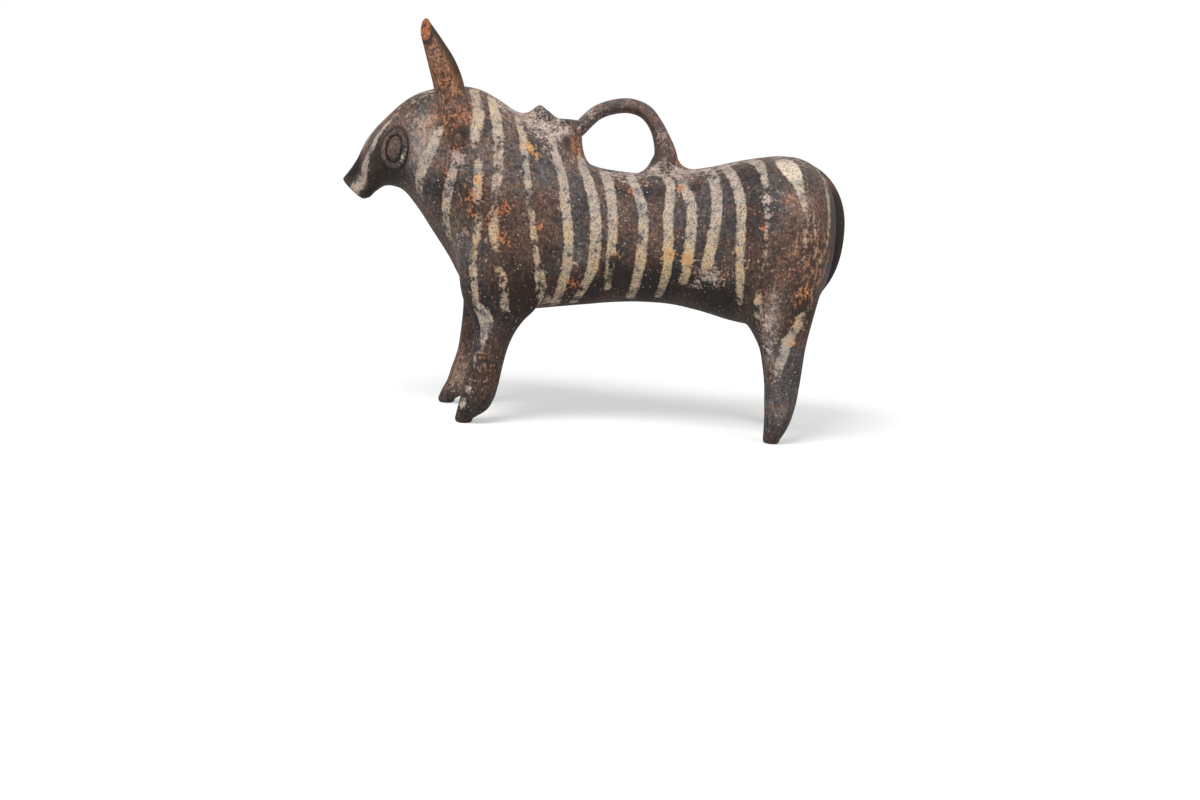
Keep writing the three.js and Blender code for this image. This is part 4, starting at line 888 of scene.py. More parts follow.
# %% The clay with its slip, stripes, crust and wear
def clay_material():
    """Slip by tone, warmth and noise, then bare clay, stripes, crust, rust, yellow, and soot and painted
    shade over it.
    """
    s = Shader("slipped_clay")
    broad, patch, blot = s.noise(10), s.noise(4.5, 3), s.noise(2, 3)
    grain, dust = s.noise(1.0, 3), s.noise(0.5, 2)
    scrape = s.noise(0.9, 2, stretch=(1, 1, 9))

    # the slip: grey and brown ramps by tone, which holds painted light and shade, mixed by warmth
    tone = s.total(s.field("tone"), (broad, 0.5), (blot, 0.7), (grain, 0.7), (scrape, 0.45))
    grey = s.ramp(tone, *GREY_SLIP)
    brown = s.ramp(tone, *BROWN_SLIP)
    warm = s.step(s.total(s.field("warmth"), (patch, 3.4), (broad, 1.6)), -0.7, 0.7)
    slip = s.over(warm, grey, brown)

    # where the slip is rubbed off
    clay = s.ramp(s.total(blot, (grain, 0.5), (scrape, 0.7)), *BARE_CLAY)
    colour = s.over(s.within("bare", 0.25, 0.8, (blot, 1.4), (scrape, 1.2)), slip, clay, 0.75)

    # the stripes: inside their ragged edge, by the paint that is left and the painted shade at the belly
    # ends, less the flaked-off specks
    edge = s.step(s.total(s.field("stripe"), (patch, 1.2), (blot, 1.2), (grain, 1.2)), -0.4, 0.5)
    left = s.step(s.total(s.field("stripe_paint_and_shade"), (patch, 2.4), (blot, 1.6), (grain, 1.3)), 0.1, 0.85)
    speck = s.step(s.total(0.0, (grain, 0.7), (dust, 0.8)), -0.01, 0.1)
    whole = s.math("MULTIPLY_ADD", speck, -0.7, 0.92)
    striped = s.math("MULTIPLY", s.math("MULTIPLY", edge, left), whole)
    cream = s.ramp(s.total(s.field("cream"), (patch, 1.4), (grain, 0.8)), *CREAM_PAINT)
    cream = s.over(s.step(s.field("stripe_paint_and_shade"), 1.0, 1.3), cream, THICK_CREAM, 0.8)
    colour = s.over(striped, colour, cream)

    # what the ground left on it
    crusted = s.within("crust", 0.3, 1.1, (patch, 1.2), (blot, 1.6), (grain, 1.0), (dust, 0.5))
    colour = s.over(crusted, colour, s.ramp(s.total(grain, (patch, 0.8)), *LIME_CRUST), 0.85)
    rusty = s.within("rust", 0.65, 1.3, (blot, 3.0), (grain, 2.0))
    colour = s.over(rusty, colour, s.ramp(grain, *RUST_STAIN), 0.72)
    stained = s.within("yellow", 0.4, 1.1, (blot, 1.6), (grain, 2.2))
    colour = s.over(stained, colour, s.ramp(grain, *OCHRE_STAIN), 0.72)

    # small specks and pits everywhere
    colour = s.over(s.step(s.noise(1.6, 1), 0.70, 0.74), colour, CLAY_SPECK, 0.6)
    colour = s.over(s.step(s.noise(1.1, 1), 0.70, 0.75), colour, LIME_SPECK, 0.65)
    pits = s.step(s.total(0.0, (s.noise(1.3, 2), 1.0)), 0.17, 0.22)
    colour = s.over(pits, colour, PIT, 0.7)

    # soot and painted shade, in two depths of dark, and the plain clay of the inside
    colour = s.over(s.within("soot_and_shade", 0.3, 0.9, (blot, 1.0), (grain, 1.0)), colour, SMOKE_AND_SHADE, 0.88)
    colour = s.over(s.within("soot_and_shade", 1.1, 1.6, (blot, 1.0), (grain, 1.0)), colour, BLACK_SOOT_AND_SHADE, 0.85)
    colour = s.over(s.field("inside"), colour, INNER_CLAY)

    s.set(s.surface.inputs["Base Color"], colour)
    slip_roughness = s.math("MULTIPLY_ADD", blot, 0.3, 0.56)
    roughness = s.math("MAXIMUM", slip_roughness, s.math("MULTIPLY", striped, 0.85))
    s.set(s.surface.inputs["Roughness"], roughness)
    s.surface.inputs["Specular IOR Level"].default_value = 0.15

    relief = s.math("ADD", s.math("MULTIPLY", s.noise(3.2, 3), 0.9), s.math("MULTIPLY", grain, 0.35))
    relief = s.math("MULTIPLY_ADD", striped, 0.12, relief)
    relief = s.math("MULTIPLY_ADD", crusted, 0.18, relief)
    relief = s.math("MULTIPLY_ADD", scrape, 0.25, relief)
    relief = s.math("MULTIPLY_ADD", pits, -0.3, relief)
    bump = s.tree.nodes.new("ShaderNodeBump")
    bump.inputs["Strength"].default_value = 0.5
    bump.inputs["Distance"].default_value = 0.5 * MM
    s.set(bump.inputs["Height"], relief)
    s.set(s.surface.inputs["Normal"], bump.outputs["Normal"])
    return s.material


CLAY = clay_material()
print("clay of", len(CLAY.node_tree.nodes), "nodes")

# %% [markdown]
# ## The hollow body
# The rump cap, the barrel, the neck, the head and the muzzle are separate shells that the potter
# joined. Each one is the skin between two seams, the wall's inner side, and the two end faces that
# join them. Two neighbours share their edge exactly, so the joint doesn't show through the slip.
# Solidify could give the wall its thickness. The inner side is made as rows of its own here, so that
# it can be coarser than the outside, and can close in on the pouring hole.

# %% Rows of the body's shells
CELL = 0.9
ROUND = 264


def turns(count):
    """Evenly spaced angles round a full circle, in radians."""
    return np.arange(count) * 2 * np.pi / count


TURN = turns(ROUND)
print("cells of the body about", CELL, "mm long,", ROUND, "round it")


# %% Shells from rows of skin
def rows_between(start, end, cell=CELL):
    """Ways along the body from one seam to the next, evenly spaced about a cell apart."""
    return np.linspace(start, end, int(np.ceil((end - start) / cell)) + 1)


def skin_rows(start, end, depth=0.0, cell=CELL):
    """Grid of the skin between two ways along the body, moved inwards by a depth."""
    travel = rows_between(start, end, cell)[:, None]
    grid = skin(travel, TURN[None])
    return grid - depth * skin_normals(travel, TURN[None]) if depth else grid


def ring_piece(name, nodes, outer, inner):
    """Shell closed in a ring: the outer rows forward, then the inner rows back."""
    grid = np.concatenate([outer, inner[::-1]])
    rows = len(grid)
    inside = np.repeat(np.arange(rows) >= len(outer), ROUND)
    return make_piece(name, nodes, grid.reshape(-1, 3), grid_quads(rows, ROUND, ring=True),
                      extra={"inside": inside})


NECK_SEAM, POLL_SEAM, NOSE_SEAM = (travel_of_rib(rib) for rib in (NECK_ROOT, POLL, NOSE))
INNER_CELL = 3
ring_piece("neck", ["neck_shell"], skin_rows(NECK_SEAM, POLL_SEAM),
           skin_rows(NECK_SEAM, POLL_SEAM, WALL, INNER_CELL))

# %% [markdown]
# The rump cap is a dish. Its skin begins in a pole at the very end, where the tail covers it, and its
# inner side ends in a second pole.

# %% Rump cap
# ways along the body at which the outer and inner rows begin beside their poles
CAP_START, CAP_INNER_START, CAP_INNER_CELL = 0.6, 3, 2
cap_outer = skin_rows(CAP_START, RUMP_SEAM)
cap_inner = skin_rows(CAP_INNER_START, RUMP_SEAM, WALL, CAP_INNER_CELL)[::-1]
cap_grid = np.concatenate([cap_outer, cap_inner])
tip = skin(0.0, 0.0)
cap_points, cap_quads, cap_fans = closed_grid(cap_grid, start=tip, end=tip - np.array([WALL, 0, 0]))
is_inside = np.zeros(len(cap_points))
is_inside[len(cap_outer) * ROUND:-2] = 1
make_piece("rump", ["rump_cap"], cap_points, cap_quads, cap_fans, extra={"inside": is_inside})

# %% [markdown]
# The barrel has the filling hole. The cells of the grid that lie inside the hole are left out of the
# skin and of the inner side alike, and the two edges that this leaves are joined by a wall. The
# collar comes over them later.
# A boolean could cut the hole, but it leaves slivers that show as dark streaks in the shading.

# %% Barrel with the filling hole
HOLE_X, HOLE_Y = -17, 2.5
HOLE_LENGTH, HOLE_WIDTH = 6.7, 10.2
# The hole in the shell is wider than the collar's by this margin, and only above this height.
HOLE_MARGIN = 2.6
HOLE_ABOVE = 95
barrel_outer = skin_rows(RUMP_SEAM, NECK_SEAM)
barrel_inner = skin_rows(RUMP_SEAM, NECK_SEAM, WALL)
n_rows = len(barrel_outer)
barrel_points = np.concatenate([barrel_outer, barrel_inner]).reshape(-1, 3)
cells = grid_quads(n_rows, ROUND)
corner_spots = barrel_points[cells].mean(1)
hole_level = (((corner_spots[:, 0] - HOLE_X) / (HOLE_LENGTH + HOLE_MARGIN)) ** 2
              + ((corner_spots[:, 1] - HOLE_Y) / (HOLE_WIDTH + HOLE_MARGIN)) ** 2)
open_cell = ((hole_level < 1) & (corner_spots[:, 2] > HOLE_ABOVE)).reshape(n_rows - 1, ROUND)
shift = n_rows * ROUND
kept = cells[~open_cell.ravel()]
print(int(open_cell.sum()), "cells left open for the hole")


# %% The wall of the hole and the barrel's end faces
def hole_wall(open_cell):
    """Quads that join the edge of the hole in the skin to the same edge in the inner side.

    An edge lies where an open cell has a kept one for its neighbour, along or round the body.
    """
    rows, columns = open_cell.shape
    walls = []
    along = np.diff(open_cell.astype(int), axis=0)
    for sign in (1, -1):
        row, column = np.nonzero(along == sign)
        a = (row + 1) * columns + column
        b = (row + 1) * columns + (column + 1) % columns
        a, b = (a, b) if sign == 1 else (b, a)
        walls.append(np.column_stack([a, b, b + shift, a + shift]))
    around = np.roll(open_cell, -1, axis=1).astype(int) - open_cell.astype(int)
    for sign in (1, -1):
        row, column = np.nonzero(around == sign)
        a = row * columns + (column + 1) % columns
        b = (row + 1) * columns + (column + 1) % columns
        a, b = (b, a) if sign == 1 else (a, b)
        walls.append(np.column_stack([a, b, b + shift, a + shift]))
    return np.vstack(walls)


column = np.arange(ROUND)
next_column = (column + 1) % ROUND
last = (n_rows - 1) * ROUND
rear_face = np.column_stack([next_column, column, column + shift, next_column + shift])
front_face = np.column_stack([column, next_column, next_column + shift, column + shift]) + last
barrel_quads = np.vstack([kept, kept[:, ::-1] + shift, hole_wall(open_cell), rear_face, front_face])
used = np.unique(barrel_quads)
renumber = np.zeros(len(barrel_points), int)
renumber[used] = np.arange(len(used))
make_piece("barrel", ["torso_shell"], barrel_points[used], renumber[barrel_quads],
           extra={"inside": used >= shift})

# %% [markdown]
# The head is hollow as far as the brow. From there a narrow hole runs on through the muzzle, where
# the vessel pours. The rows of the inner side close in from the cavity to that hole.
# From outside only the mouth of the hole is seen, and the same ring of rows makes its rounded lip.

# %% Head and muzzle with the pouring hole
BORE = 2.3
BORE_REACH = 8
CAVITY_END = travel_of_rib(NOSE - 2)


def bore_ring(travel):
    """Ring of the pouring hole: a circle of the bore's radius in the plane of the rib, round its
    middle."""
    back_x, back_z, belly_x, belly_z, _, lean = (np.interp(travel, TRAVEL, c) for c in SKELETON.T)
    middle = np.array([(back_x + belly_x) / 2, lean, (back_z + belly_z) / 2])
    up = unit(np.array([back_x - belly_x, 0, back_z - belly_z]))
    return middle + BORE * (np.cos(TURN)[:, None] * up - np.sin(TURN)[:, None] * np.array([0, 1, 0]))


def bore_rows(start, end, count):
    """Rows of the pouring hole between two ways along the body."""
    return np.stack([bore_ring(travel) for travel in np.linspace(start, end, count)])


cavity = skin_rows(POLL_SEAM, CAVITY_END - BORE_REACH, WALL, INNER_CELL)
closing = cavity[-1] + (bore_ring(CAVITY_END) - cavity[-1]) * np.array([0.3, 0.65, 1])[:, None, None]
head_inner = np.concatenate([cavity, closing, bore_rows(CAVITY_END, NOSE_SEAM, 5)[1:]])
ring_piece("head", ["head_shell"], skin_rows(POLL_SEAM, NOSE_SEAM), head_inner)

# way from the muzzle's rim to the bore and rise over the rim, row by row
LIP_ROWS = ((0.12, 0.35), (0.35, 0.6), (0.65, 0.5), (0.88, 0.1))
MUZZLE_CELL = 0.5
muzzle_skin = skin_rows(NOSE_SEAM, END, cell=MUZZLE_CELL)
rim = muzzle_skin[-1]
bore_end = bore_ring(END)
ahead = unit(bore_end.mean(0) - bore_ring(END - 2).mean(0))
lip = [rim + (bore_end - rim) * share + ahead * rise for share, rise in LIP_ROWS]
ring_piece("muzzle", ["muzzle_spout"], np.concatenate([muzzle_skin, np.stack(lip)]),
           bore_rows(NOSE_SEAM, END - 0.6, 8))

# %% [markdown]
# ## Feet of applied pieces
# Legs, horns, ears and the handle are tubes pressed onto the body while the clay is wet, and their
# ends are smoothed out onto the skin. One helper does this for all of them. It follows each column
# of the tube down to where it comes near the skin, and from there bends it along a cubic until it
# lies on the skin some way off. The last rows dip just under the skin and close inside the wall.
# A boolean union would leave a sharp crease, where real clay is smoothed over with a wet finger.


# %% A tube that ends smoothly on the skin
def sample(tube, row):
    """Points of a tube at a row number of its own for each column, straight between two rows."""
    low = np.clip(np.floor(row).astype(int), 0, len(tube) - 2)
    share = (row - low)[..., None]
    column = np.broadcast_to(np.arange(tube.shape[1]), row.shape)
    return tube[low, column] * (1 - share) + tube[low + 1, column] * share


def crossing(heights, level):
    """Row number in each column where the height over the skin last falls below a level."""
    above = heights > level
    row = len(above) - 1 - np.argmax(above[::-1], axis=0)
    row = np.clip(row, 0, len(above) - 2)
    column = np.arange(heights.shape[1])
    high, low = heights[row, column], heights[row + 1, column]
    return row + np.clip((high - level) / np.maximum(high - low, 1e-6), 0, 1)


def seat_on_skin(tube, rise, spread, rows, foot_rows=14, sink=2.2):
    """Grid of a tube with a smoothed-out foot.

    rise is the height at which the bend begins, spread the way that the foot runs out on the skin,
    and sink the depth at which the grid closes inside the wall. The bend is a Hermite cubic: it
    starts along the tube and ends along the skin, and never dips below the skin on its way.
    """
    heights = over_skin(tube)
    start, cross = crossing(heights, rise), crossing(heights, 0.0)
    top, mark = sample(tube, start), sample(tube, cross)
    lower, upper = np.minimum(start + 0.5, len(tube) - 1), np.maximum(start - 0.5, 0)
    run = unit(sample(tube, lower) - sample(tube, upper))
    normal = skin_slope(mark)
    out = unit(mark - mark.mean(0))
    way = run + out
    way = unit(way - (way * normal).sum(1, keepdims=True) * normal)
    way = unit(way + 0.5 * (np.roll(way, 1, axis=0) + np.roll(way, -1, axis=0)))
    toe = settle(mark + spread * way)
    toe_normal = skin_slope(toe)
    toe_way = unit(way - (way * toe_normal).sum(1, keepdims=True) * toe_normal)
    reach = np.linalg.norm(toe - top, axis=1, keepdims=True) * 1.1
    s = np.linspace(0, 1, foot_rows + 1)[1:, None, None]
    foot = ((2 * s ** 3 - 3 * s ** 2 + 1) * top + (s ** 3 - 2 * s ** 2 + s) * reach * run
            + (3 * s ** 2 - 2 * s ** 3) * toe + (s ** 3 - s ** 2) * reach * toe_way)
    lowest = np.maximum(over_skin(foot), 0.02 * (1 - s[..., 0]))
    foot = foot + (lowest - over_skin(foot))[..., None] * skin_slope(foot)
    under = settle(toe + 0.8 * toe_way, -0.25)
    middle = settle(mark.mean(0, keepdims=True), -sink)
    inner = [settle(middle + (under - middle) * share, -sink) for share in (0.9, 0.5)]
    shares = np.linspace(0, 1, rows)[:, None]
    shaft = sample(tube, shares * start)
    return np.concatenate([shaft, foot, under[None], np.stack(inner)]), middle[0]


def add_tube(name, node, grid, start, end, extra=None):
    """Piece from a seated tube, closed by a pole at its free end and one inside the wall."""
    points, quads, fans = closed_grid(grid, start=start, end=end)
    return make_piece(name, [node], points, quads, fans, extra=extra)


# %% [markdown]
# ## Legs
# Each leg is a stack of ovals from the foot up, narrow above the foot and spreading towards the body.
# The feet are rounded stumps with a small flat that the vessel stands on.
# A stretched cylinder could do for a plainer leg. The stack gives each height its own size, as it is
# measured in the side view, and a smooth curve fills in the rings between.

# %% Stacks of ovals for the legs
# height, x, half length, half width, all in mm
FRONT_LEFT = [(1.6, -47, 3.6, 4.4), (5.5, -43.9, 5.9, 6), (10, -42.3, 6.7, 6.6), (16, -41.2, 7.2, 6.9),
              (24, -39.6, 7, 6.9), (32, -38, 7.3, 7.3), (38, -36.6, 8.4, 8), (43, -35.6, 10.6, 8.9),
              (48, -35, 14.2, 10), (56, -35.2, 16.2, 11.4), (66, -36, 15.4, 11.2), (78, -36, 12, 8)]
FRONT_RIGHT = [(1.6, -59, 3.6, 4.4), (5.5, -55.3, 5.9, 6), (10, -52.4, 6.7, 6.6), (16, -50.3, 7.2, 6.9),
               (24, -48.1, 7, 6.9), (32, -46.6, 7.4, 7.3), (38, -45, 8.6, 8), (43, -43, 10.6, 8.9),
               (48, -41, 13, 10), (56, -39, 15.4, 11.4), (66, -37.6, 15.4, 11.2), (78, -36, 12, 8)]
HIND_LEFT = [(1.6, 78.2, 3.4, 4.4), (5.5, 79.2, 4.5, 5.5), (10, 80, 5.5, 6.2), (16, 80.5, 6.4, 6.7),
             (24, 80.6, 7, 7), (32, 80.1, 7.9, 7.6), (38, 79.5, 8.9, 8.5), (43, 78.5, 10.6, 9.8),
             (48, 77.2, 12.9, 11.2), (56, 77.6, 14.6, 13), (66, 78, 14.6, 13), (78, 77, 11, 9)]
# The right hind leg stands further back, by this much at its foot and by nothing from this height.
HIND_STEP = 6.8
HIND_STRAIGHT = 56
FRONT_Y, HIND_Y = 24, 25
FOOT_LENGTH, FOOT_WIDTH = 2.5, 3.2
LEG_COLUMNS = 112
LEG_ROWS = 140
SOLE_ROWS = 6
# Above this height a leg leans inwards, by this share of the height.
LEAN_FROM, LEAN_SHARE = 30, 0.03
print("feet at x", [stack[0][1] for stack in (FRONT_LEFT, FRONT_RIGHT, HIND_LEFT)])


# %% Four legs
def leg_tube(stack, y):
    """Fine rings up the leg: ovals whose middle and half axes run smoothly through the stack."""
    stack = np.array(stack, float)
    fine = through(stack, np.linspace(0, len(stack) - 1, LEG_ROWS))
    height, x, length, width = fine.T[:, :, None]
    inset = LEAN_SHARE * np.maximum(0, height - LEAN_FROM) * np.sign(y)
    angle = turns(LEG_COLUMNS)
    ring_x, ring_y = x + length * np.cos(angle), y - inset + width * np.sin(angle)
    return np.stack(np.broadcast_arrays(ring_x, ring_y, height), -1)


def foot_rows(tube, flat_x, y):
    """Rows of the sole: a small flat oval on the ground, then a rounded edge up to the tube."""
    angle = turns(LEG_COLUMNS)
    flat_y = y + FOOT_WIDTH * np.sin(angle)
    flat = np.column_stack([flat_x + FOOT_LENGTH * np.cos(angle), flat_y, 0 * angle])
    quarter = np.linspace(0, np.pi / 2, SOLE_ROWS)[:-1, None, None]
    share, lift = np.sin(quarter), 1 - np.cos(quarter)
    edge = flat + (tube[0] - flat) * np.concatenate([share, share, lift], axis=2)
    return np.concatenate([flat[None], edge[1:]])


def add_leg(name, node, stack, y):
    """A leg, from its sole to its foot on the body."""
    tube = leg_tube(stack, y)
    grid, inner = seat_on_skin(tube, rise=9, spread=9, rows=56, foot_rows=20)
    foot_x = stack[0][1]
    grid = np.concatenate([foot_rows(tube, foot_x, y), grid])
    return add_tube(name, node, grid, np.array([foot_x, y, 0.0]), inner)


hind_right = [(z, x + HIND_STEP * max(0, 1 - (z / HIND_STRAIGHT) ** 2), length, width)
              for z, x, length, width in HIND_LEFT]
add_leg("left_foreleg", "front_left_leg", FRONT_LEFT, -FRONT_Y)
add_leg("right_foreleg", "front_right_leg", FRONT_RIGHT, FRONT_Y)
add_leg("left_hind_leg", "hind_left_leg", HIND_LEFT, -HIND_Y)
add_leg("right_hind_leg", "hind_right_leg", hind_right, HIND_Y)

# %% [markdown]
# ## Horns
# Two tapering horns sweep up and forward. Both tips are broken, so bare terracotta shows there.
# A bent cone would thin evenly from root to tip, and these stay thick for half their length. So a
# circle is carried along a path with a radius at each stop, and the break is cut flat afterwards.

# %% Paths of the horns
# x, y, z, radius, from inside the head to the tip, all in mm
LEFT_HORN = [
    (-55, -16, 108, 3.2), (-56, -19.4, 113, 4.6), (-57.3, -20.6, 120, 5.6), (-59, -20.8, 128, 5.9),
    (-60.8, -22.2, 135, 5.7), (-63, -24.8, 141, 5.2), (-65.8, -28, 147, 4.1), (-68.2, -30.8, 152, 3),
    (-70, -32.6, 156, 1.9),
]
RIGHT_HORN = [
    (-55, 16, 107, 3.2), (-56.5, 19.4, 112, 4.6), (-58.4, 20.8, 118.5, 5.6), (-61.4, 21.6, 125.5, 5.9),
    (-64, 24, 131, 5.7), (-66.6, 27.6, 135.6, 5.3), (-69, 31.6, 140, 4.3), (-70.6, 34.8, 144, 3.2),
    (-71.4, 36.8, 147, 2.1),
]
HORN_COLUMNS = 72
print("horn tips at", LEFT_HORN[-1][:3], RIGHT_HORN[-1][:3])


# %% Tubes along a path
def swept_tube(path, axes, columns, side=(0, 1, 0)):
    """Ovals square to a path: each ring is its point plus two half axes times cosine and sine."""
    along = unit(np.gradient(path, axis=0))
    across = unit(np.cross(along, np.asarray(side, float)))
    other = unit(np.cross(along, across))
    angle = turns(columns)[None, :, None]
    first, second = (np.asarray(a, float).reshape(-1, 1, 1) for a in axes)
    circle = first * np.cos(angle) * across[:, None] + second * np.sin(angle) * other[:, None]
    return path[:, None] + circle


# %% Horns with their broken tips
HORN_ROWS = 120
# the break faces forward and outwards, this far down the tip and no further than so many rows
BREAK_FACES = (-0.55, 0.8, 0.1)
FACET_DEPTH = 2.2
FACET_ROWS = 30
# share of the tip's ring and rise over it, row by row
CAP_SHARES, CAP_RISES = (0.35, 0.75, 0.93), (0.9, 0.65, 0.3)
# rows down from the tip, then the paint there
HORN_BARE = ([0, 8, 18, 26, 40, 53], [0.3, 0.3, 0.7, 1.1, 1.1, 0.9])
HORN_RUST = ([0, 20, 30, 50], [0, 0.3, 0.7, 0.7])
HORN_TONE = ([0, 20, 34, 50], [0.45, 0.6, 0.5, 0.3])
HORN_CRUST = ([0, 10, 20, 30], [0, 0.35, 0.35, 0])
# From this row on the head's own paint takes over, wholly after so many more rows.
BLEND_FROM, BLEND_ROWS = 36, 14


def add_horn(name, node, stops, side):
    """A horn, from its broken tip down to its foot on the head.

    The break is flat: what stands over its plane is moved back onto it, square to it. Its paint
    goes by the row, and the last rows fade into the head's own paint. The sides of the horn that
    face forward and back are painted dark as shade.
    """
    fine = through(np.array(stops[::-1], float), np.linspace(0, len(stops) - 1, HORN_ROWS))
    radius = fine[:, 3]
    tube = swept_tube(fine[:, :3], (radius, radius), HORN_COLUMNS)
    grid, inner = seat_on_skin(tube, rise=3.5, spread=4, rows=50, foot_rows=12)
    tip = tube[0]
    direction = unit(fine[0, :3] - fine[3, :3])
    cap = tip.mean(0) + (tip - tip.mean(0)) * np.array(CAP_SHARES)[:, None, None]
    cap = cap + direction * np.array(CAP_RISES)[:, None, None]
    grid = np.concatenate([cap, grid])
    broken = unit(np.array(BREAK_FACES) * [1, side, 1])
    middle = tip.mean(0) - direction * FACET_DEPTH
    over = (grid - middle) @ broken
    over[FACET_ROWS:] = -9
    round_out = unit(grid - grid.mean(1, keepdims=True))
    grid -= np.maximum(over, 0)[..., None] * broken
    end = tip.mean(0) + direction
    end = end - max((end - middle) @ broken, 0) * broken
    row = np.arange(len(grid))[:, None] + np.zeros(HORN_COLUMNS)
    facet = over > 0
    edge = (over > -1.3) & ~facet
    # painted shade down the sides of the horn that face forward and back
    shaded_side = np.clip(np.abs(round_out[..., 0]) * 2.2 - 1.2, 0, 1)
    fields = {
        "bare": np.where(facet, 1.5, np.interp(row, *HORN_BARE)),
        "rust": np.where(facet, 1.3, np.interp(row, *HORN_RUST)),
        # a dark rim round the break, and the painted shade of the sides
        "soot_and_shade": np.where(facet, 0, np.maximum(edge * 0.8, shaded_side)),
        "tone": np.interp(row, *HORN_TONE),
        "warmth": np.full(row.shape, 1.0),
        "crust": np.where(facet, 0, np.interp(row, *HORN_CRUST) * (1 - shaded_side)),
    }
    body = paint(grid.reshape(-1, 3), {})
    near_body = np.clip((row.ravel() - BLEND_FROM) / BLEND_ROWS, 0, 1)
    for field, values in fields.items():
        values = values.ravel() * (1 - near_body) + body[field] * near_body
        fields[field] = np.append(values, [values[0], values[-1]])
    return add_tube(name, node, grid, end, inner, fields)


add_horn("left_horn_clay", "left_horn", LEFT_HORN, -1)
add_horn("right_horn_clay", "right_horn", RIGHT_HORN, 1)

# %% [markdown]
# ## Ears
# Each ear is a small cone pinched between two fingers behind the horn.
# It is too small for more than its outline to show, so a few rings along the normal of the head are
# enough, narrower from front to back, where the fingers pressed.

# %% Ears
EAR_X, EAR_Z = -54.6, 112
EAR_LENGTH = 5
EAR_RADIUS = 3.6
EAR_ROWS, EAR_COLUMNS = 40, 48
# height over the head, then the share of the radius there
EAR_SWELL = ([-3, 0.4, 2.75, 4.3, 5], [1.1, 1, 0.62, 0.32, 0.1])


def add_ear(name, node, side):
    """A pinched cone along the skin's normal, thinner from front to back than it is high."""
    root = drop(np.array([[EAR_X, side * 60.0, EAR_Z]]), (0, -side, 0))
    normal = skin_slope(root)[0]
    up = unit(np.array([0, 0, 1.0]) - normal[2] * normal)
    ahead = np.cross(up, normal)
    height = np.linspace(EAR_LENGTH, -3, EAR_ROWS)[:, None, None]
    swell = EAR_RADIUS * np.interp(height, *EAR_SWELL)
    angle = turns(EAR_COLUMNS)[None, :, None]
    middle = root[0] + height * (normal + np.array([0.12, 0, 0.1]))
    tube = middle + swell * (0.7 * np.cos(angle) * ahead + np.sin(angle) * up)
    grid, inner = seat_on_skin(tube, rise=2.2, spread=2.6, rows=14, foot_rows=10)
    return add_tube(name, node, grid, tube[0].mean(0) + 0.2 * normal, inner)


add_ear("left_ear_clay", "left_ear", -1)
add_ear("right_ear_clay", "right_ear", 1)

# %% [markdown]
# ## Eyes
# A thin coil of clay is laid round each eye as an upright oval, and a flat pellet is pressed down
# inside it. The coil is thicker at the lower rear, where its ends were joined.
# A scaled torus would be thicker at its ends than at its sides and would stand off the curved head.
# So a small circle is carried round an oval whose points are first settled onto the skin.

# %% Eye coils and pellets
PELLET_GAP = 1.45
PELLET_DEPTH = 1.9
EYE_STEPS, COIL_STEPS = 96, 20
# share of the pellet's oval and share of its depth, row by row
PELLET_SHARES = np.array([0.15, 0.35, 0.55, 0.75, 0.9, 0.98, 1, 1])
PELLET_RISES = np.array([0.78, 0.76, 0.72, 0.62, 0.42, 0.2, 0, -0.5])


def add_eye(side_name, side):
    """Coil as a tube on an oval on the skin, and a pellet as a low dome inside it. The coil's crest
    is painted light as a highlight, and its foot and the pellet's rim are painted dark as shade.
    """
    root, normal, up, ahead = EYE_FRAMES[side]
    angle = turns(EYE_STEPS)
    cosine, sine = np.cos(angle)[:, None], np.sin(angle)[:, None]
    oval = cosine * EYE_LENGTH * ahead + sine * EYE_HEIGHT * up
    rear = 1 if (ahead[0] > 0) else -1
    thick = EYE_COIL * (1 + 0.16 * np.cos(angle + rear * 0.8) * rear)
    middle = settle(root + oval, 0.3)
    slope = skin_slope(middle)
    out = unit(cosine / EYE_LENGTH * ahead + sine / EYE_HEIGHT * up)
    around = turns(COIL_STEPS)[None, :, None]
    circle = np.cos(around) * out[:, None] * 1.1 + np.sin(around) * slope[:, None]
    coil = middle[:, None] + thick[:, None, None] * circle
    crest = np.broadcast_to(np.maximum(np.sin(around[..., 0]), 0), coil.shape[:2])
    # The crust field is raised on the crest, at the rear and low down.
    pale_rear = np.maximum(ahead[0] * np.cos(angle + ahead[0] * 0.3), 0) ** 3
    pale_low = 0.5 * np.maximum(np.sin(-angle), 0) ** 4
    pale_crest = crest ** 2 * np.abs(pale_rear + pale_low)[:, None]
    # The crest of the coil is painted lighter as a highlight, and its foot darker as shade.
    coil_shading_fields = {"tone": (0.2 + 0.25 * crest).ravel(), "crust": 0.75 * pale_crest.ravel(),
                  "soot_and_shade": (0.6 * (1 - crest) ** 2).ravel()}
    make_piece(f"{side_name}_eye_coil", [f"{side_name}_eye_ring"], coil.reshape(-1, 3),
               grid_quads(EYE_STEPS, COIL_STEPS, ring=True), extra=coil_shading_fields)

    small = cosine * (EYE_LENGTH - PELLET_GAP) * ahead + sine * (EYE_HEIGHT - PELLET_GAP) * up
    rows = np.stack([settle(root + small * share, PELLET_DEPTH * rise)
                     for share, rise in zip(PELLET_SHARES, PELLET_RISES)])
    points, quads, fans = closed_grid(rows)
    # painted shade round the rim of the pellet, next to the coil
    rim = np.repeat(np.clip((PELLET_SHARES - 0.6) / 0.3, 0, 1), EYE_STEPS)
    pellet_shade_fields = {"soot_and_shade": np.concatenate([rim * 0.4, [0, 1]]), "tone": np.full(len(points), 0.42)}
    make_piece(f"{side_name}_eye_disc", [f"{side_name}_eye_pellet"], points, quads, fans,
               extra=pellet_shade_fields)


add_eye("left", -1)
add_eye("right", 1)

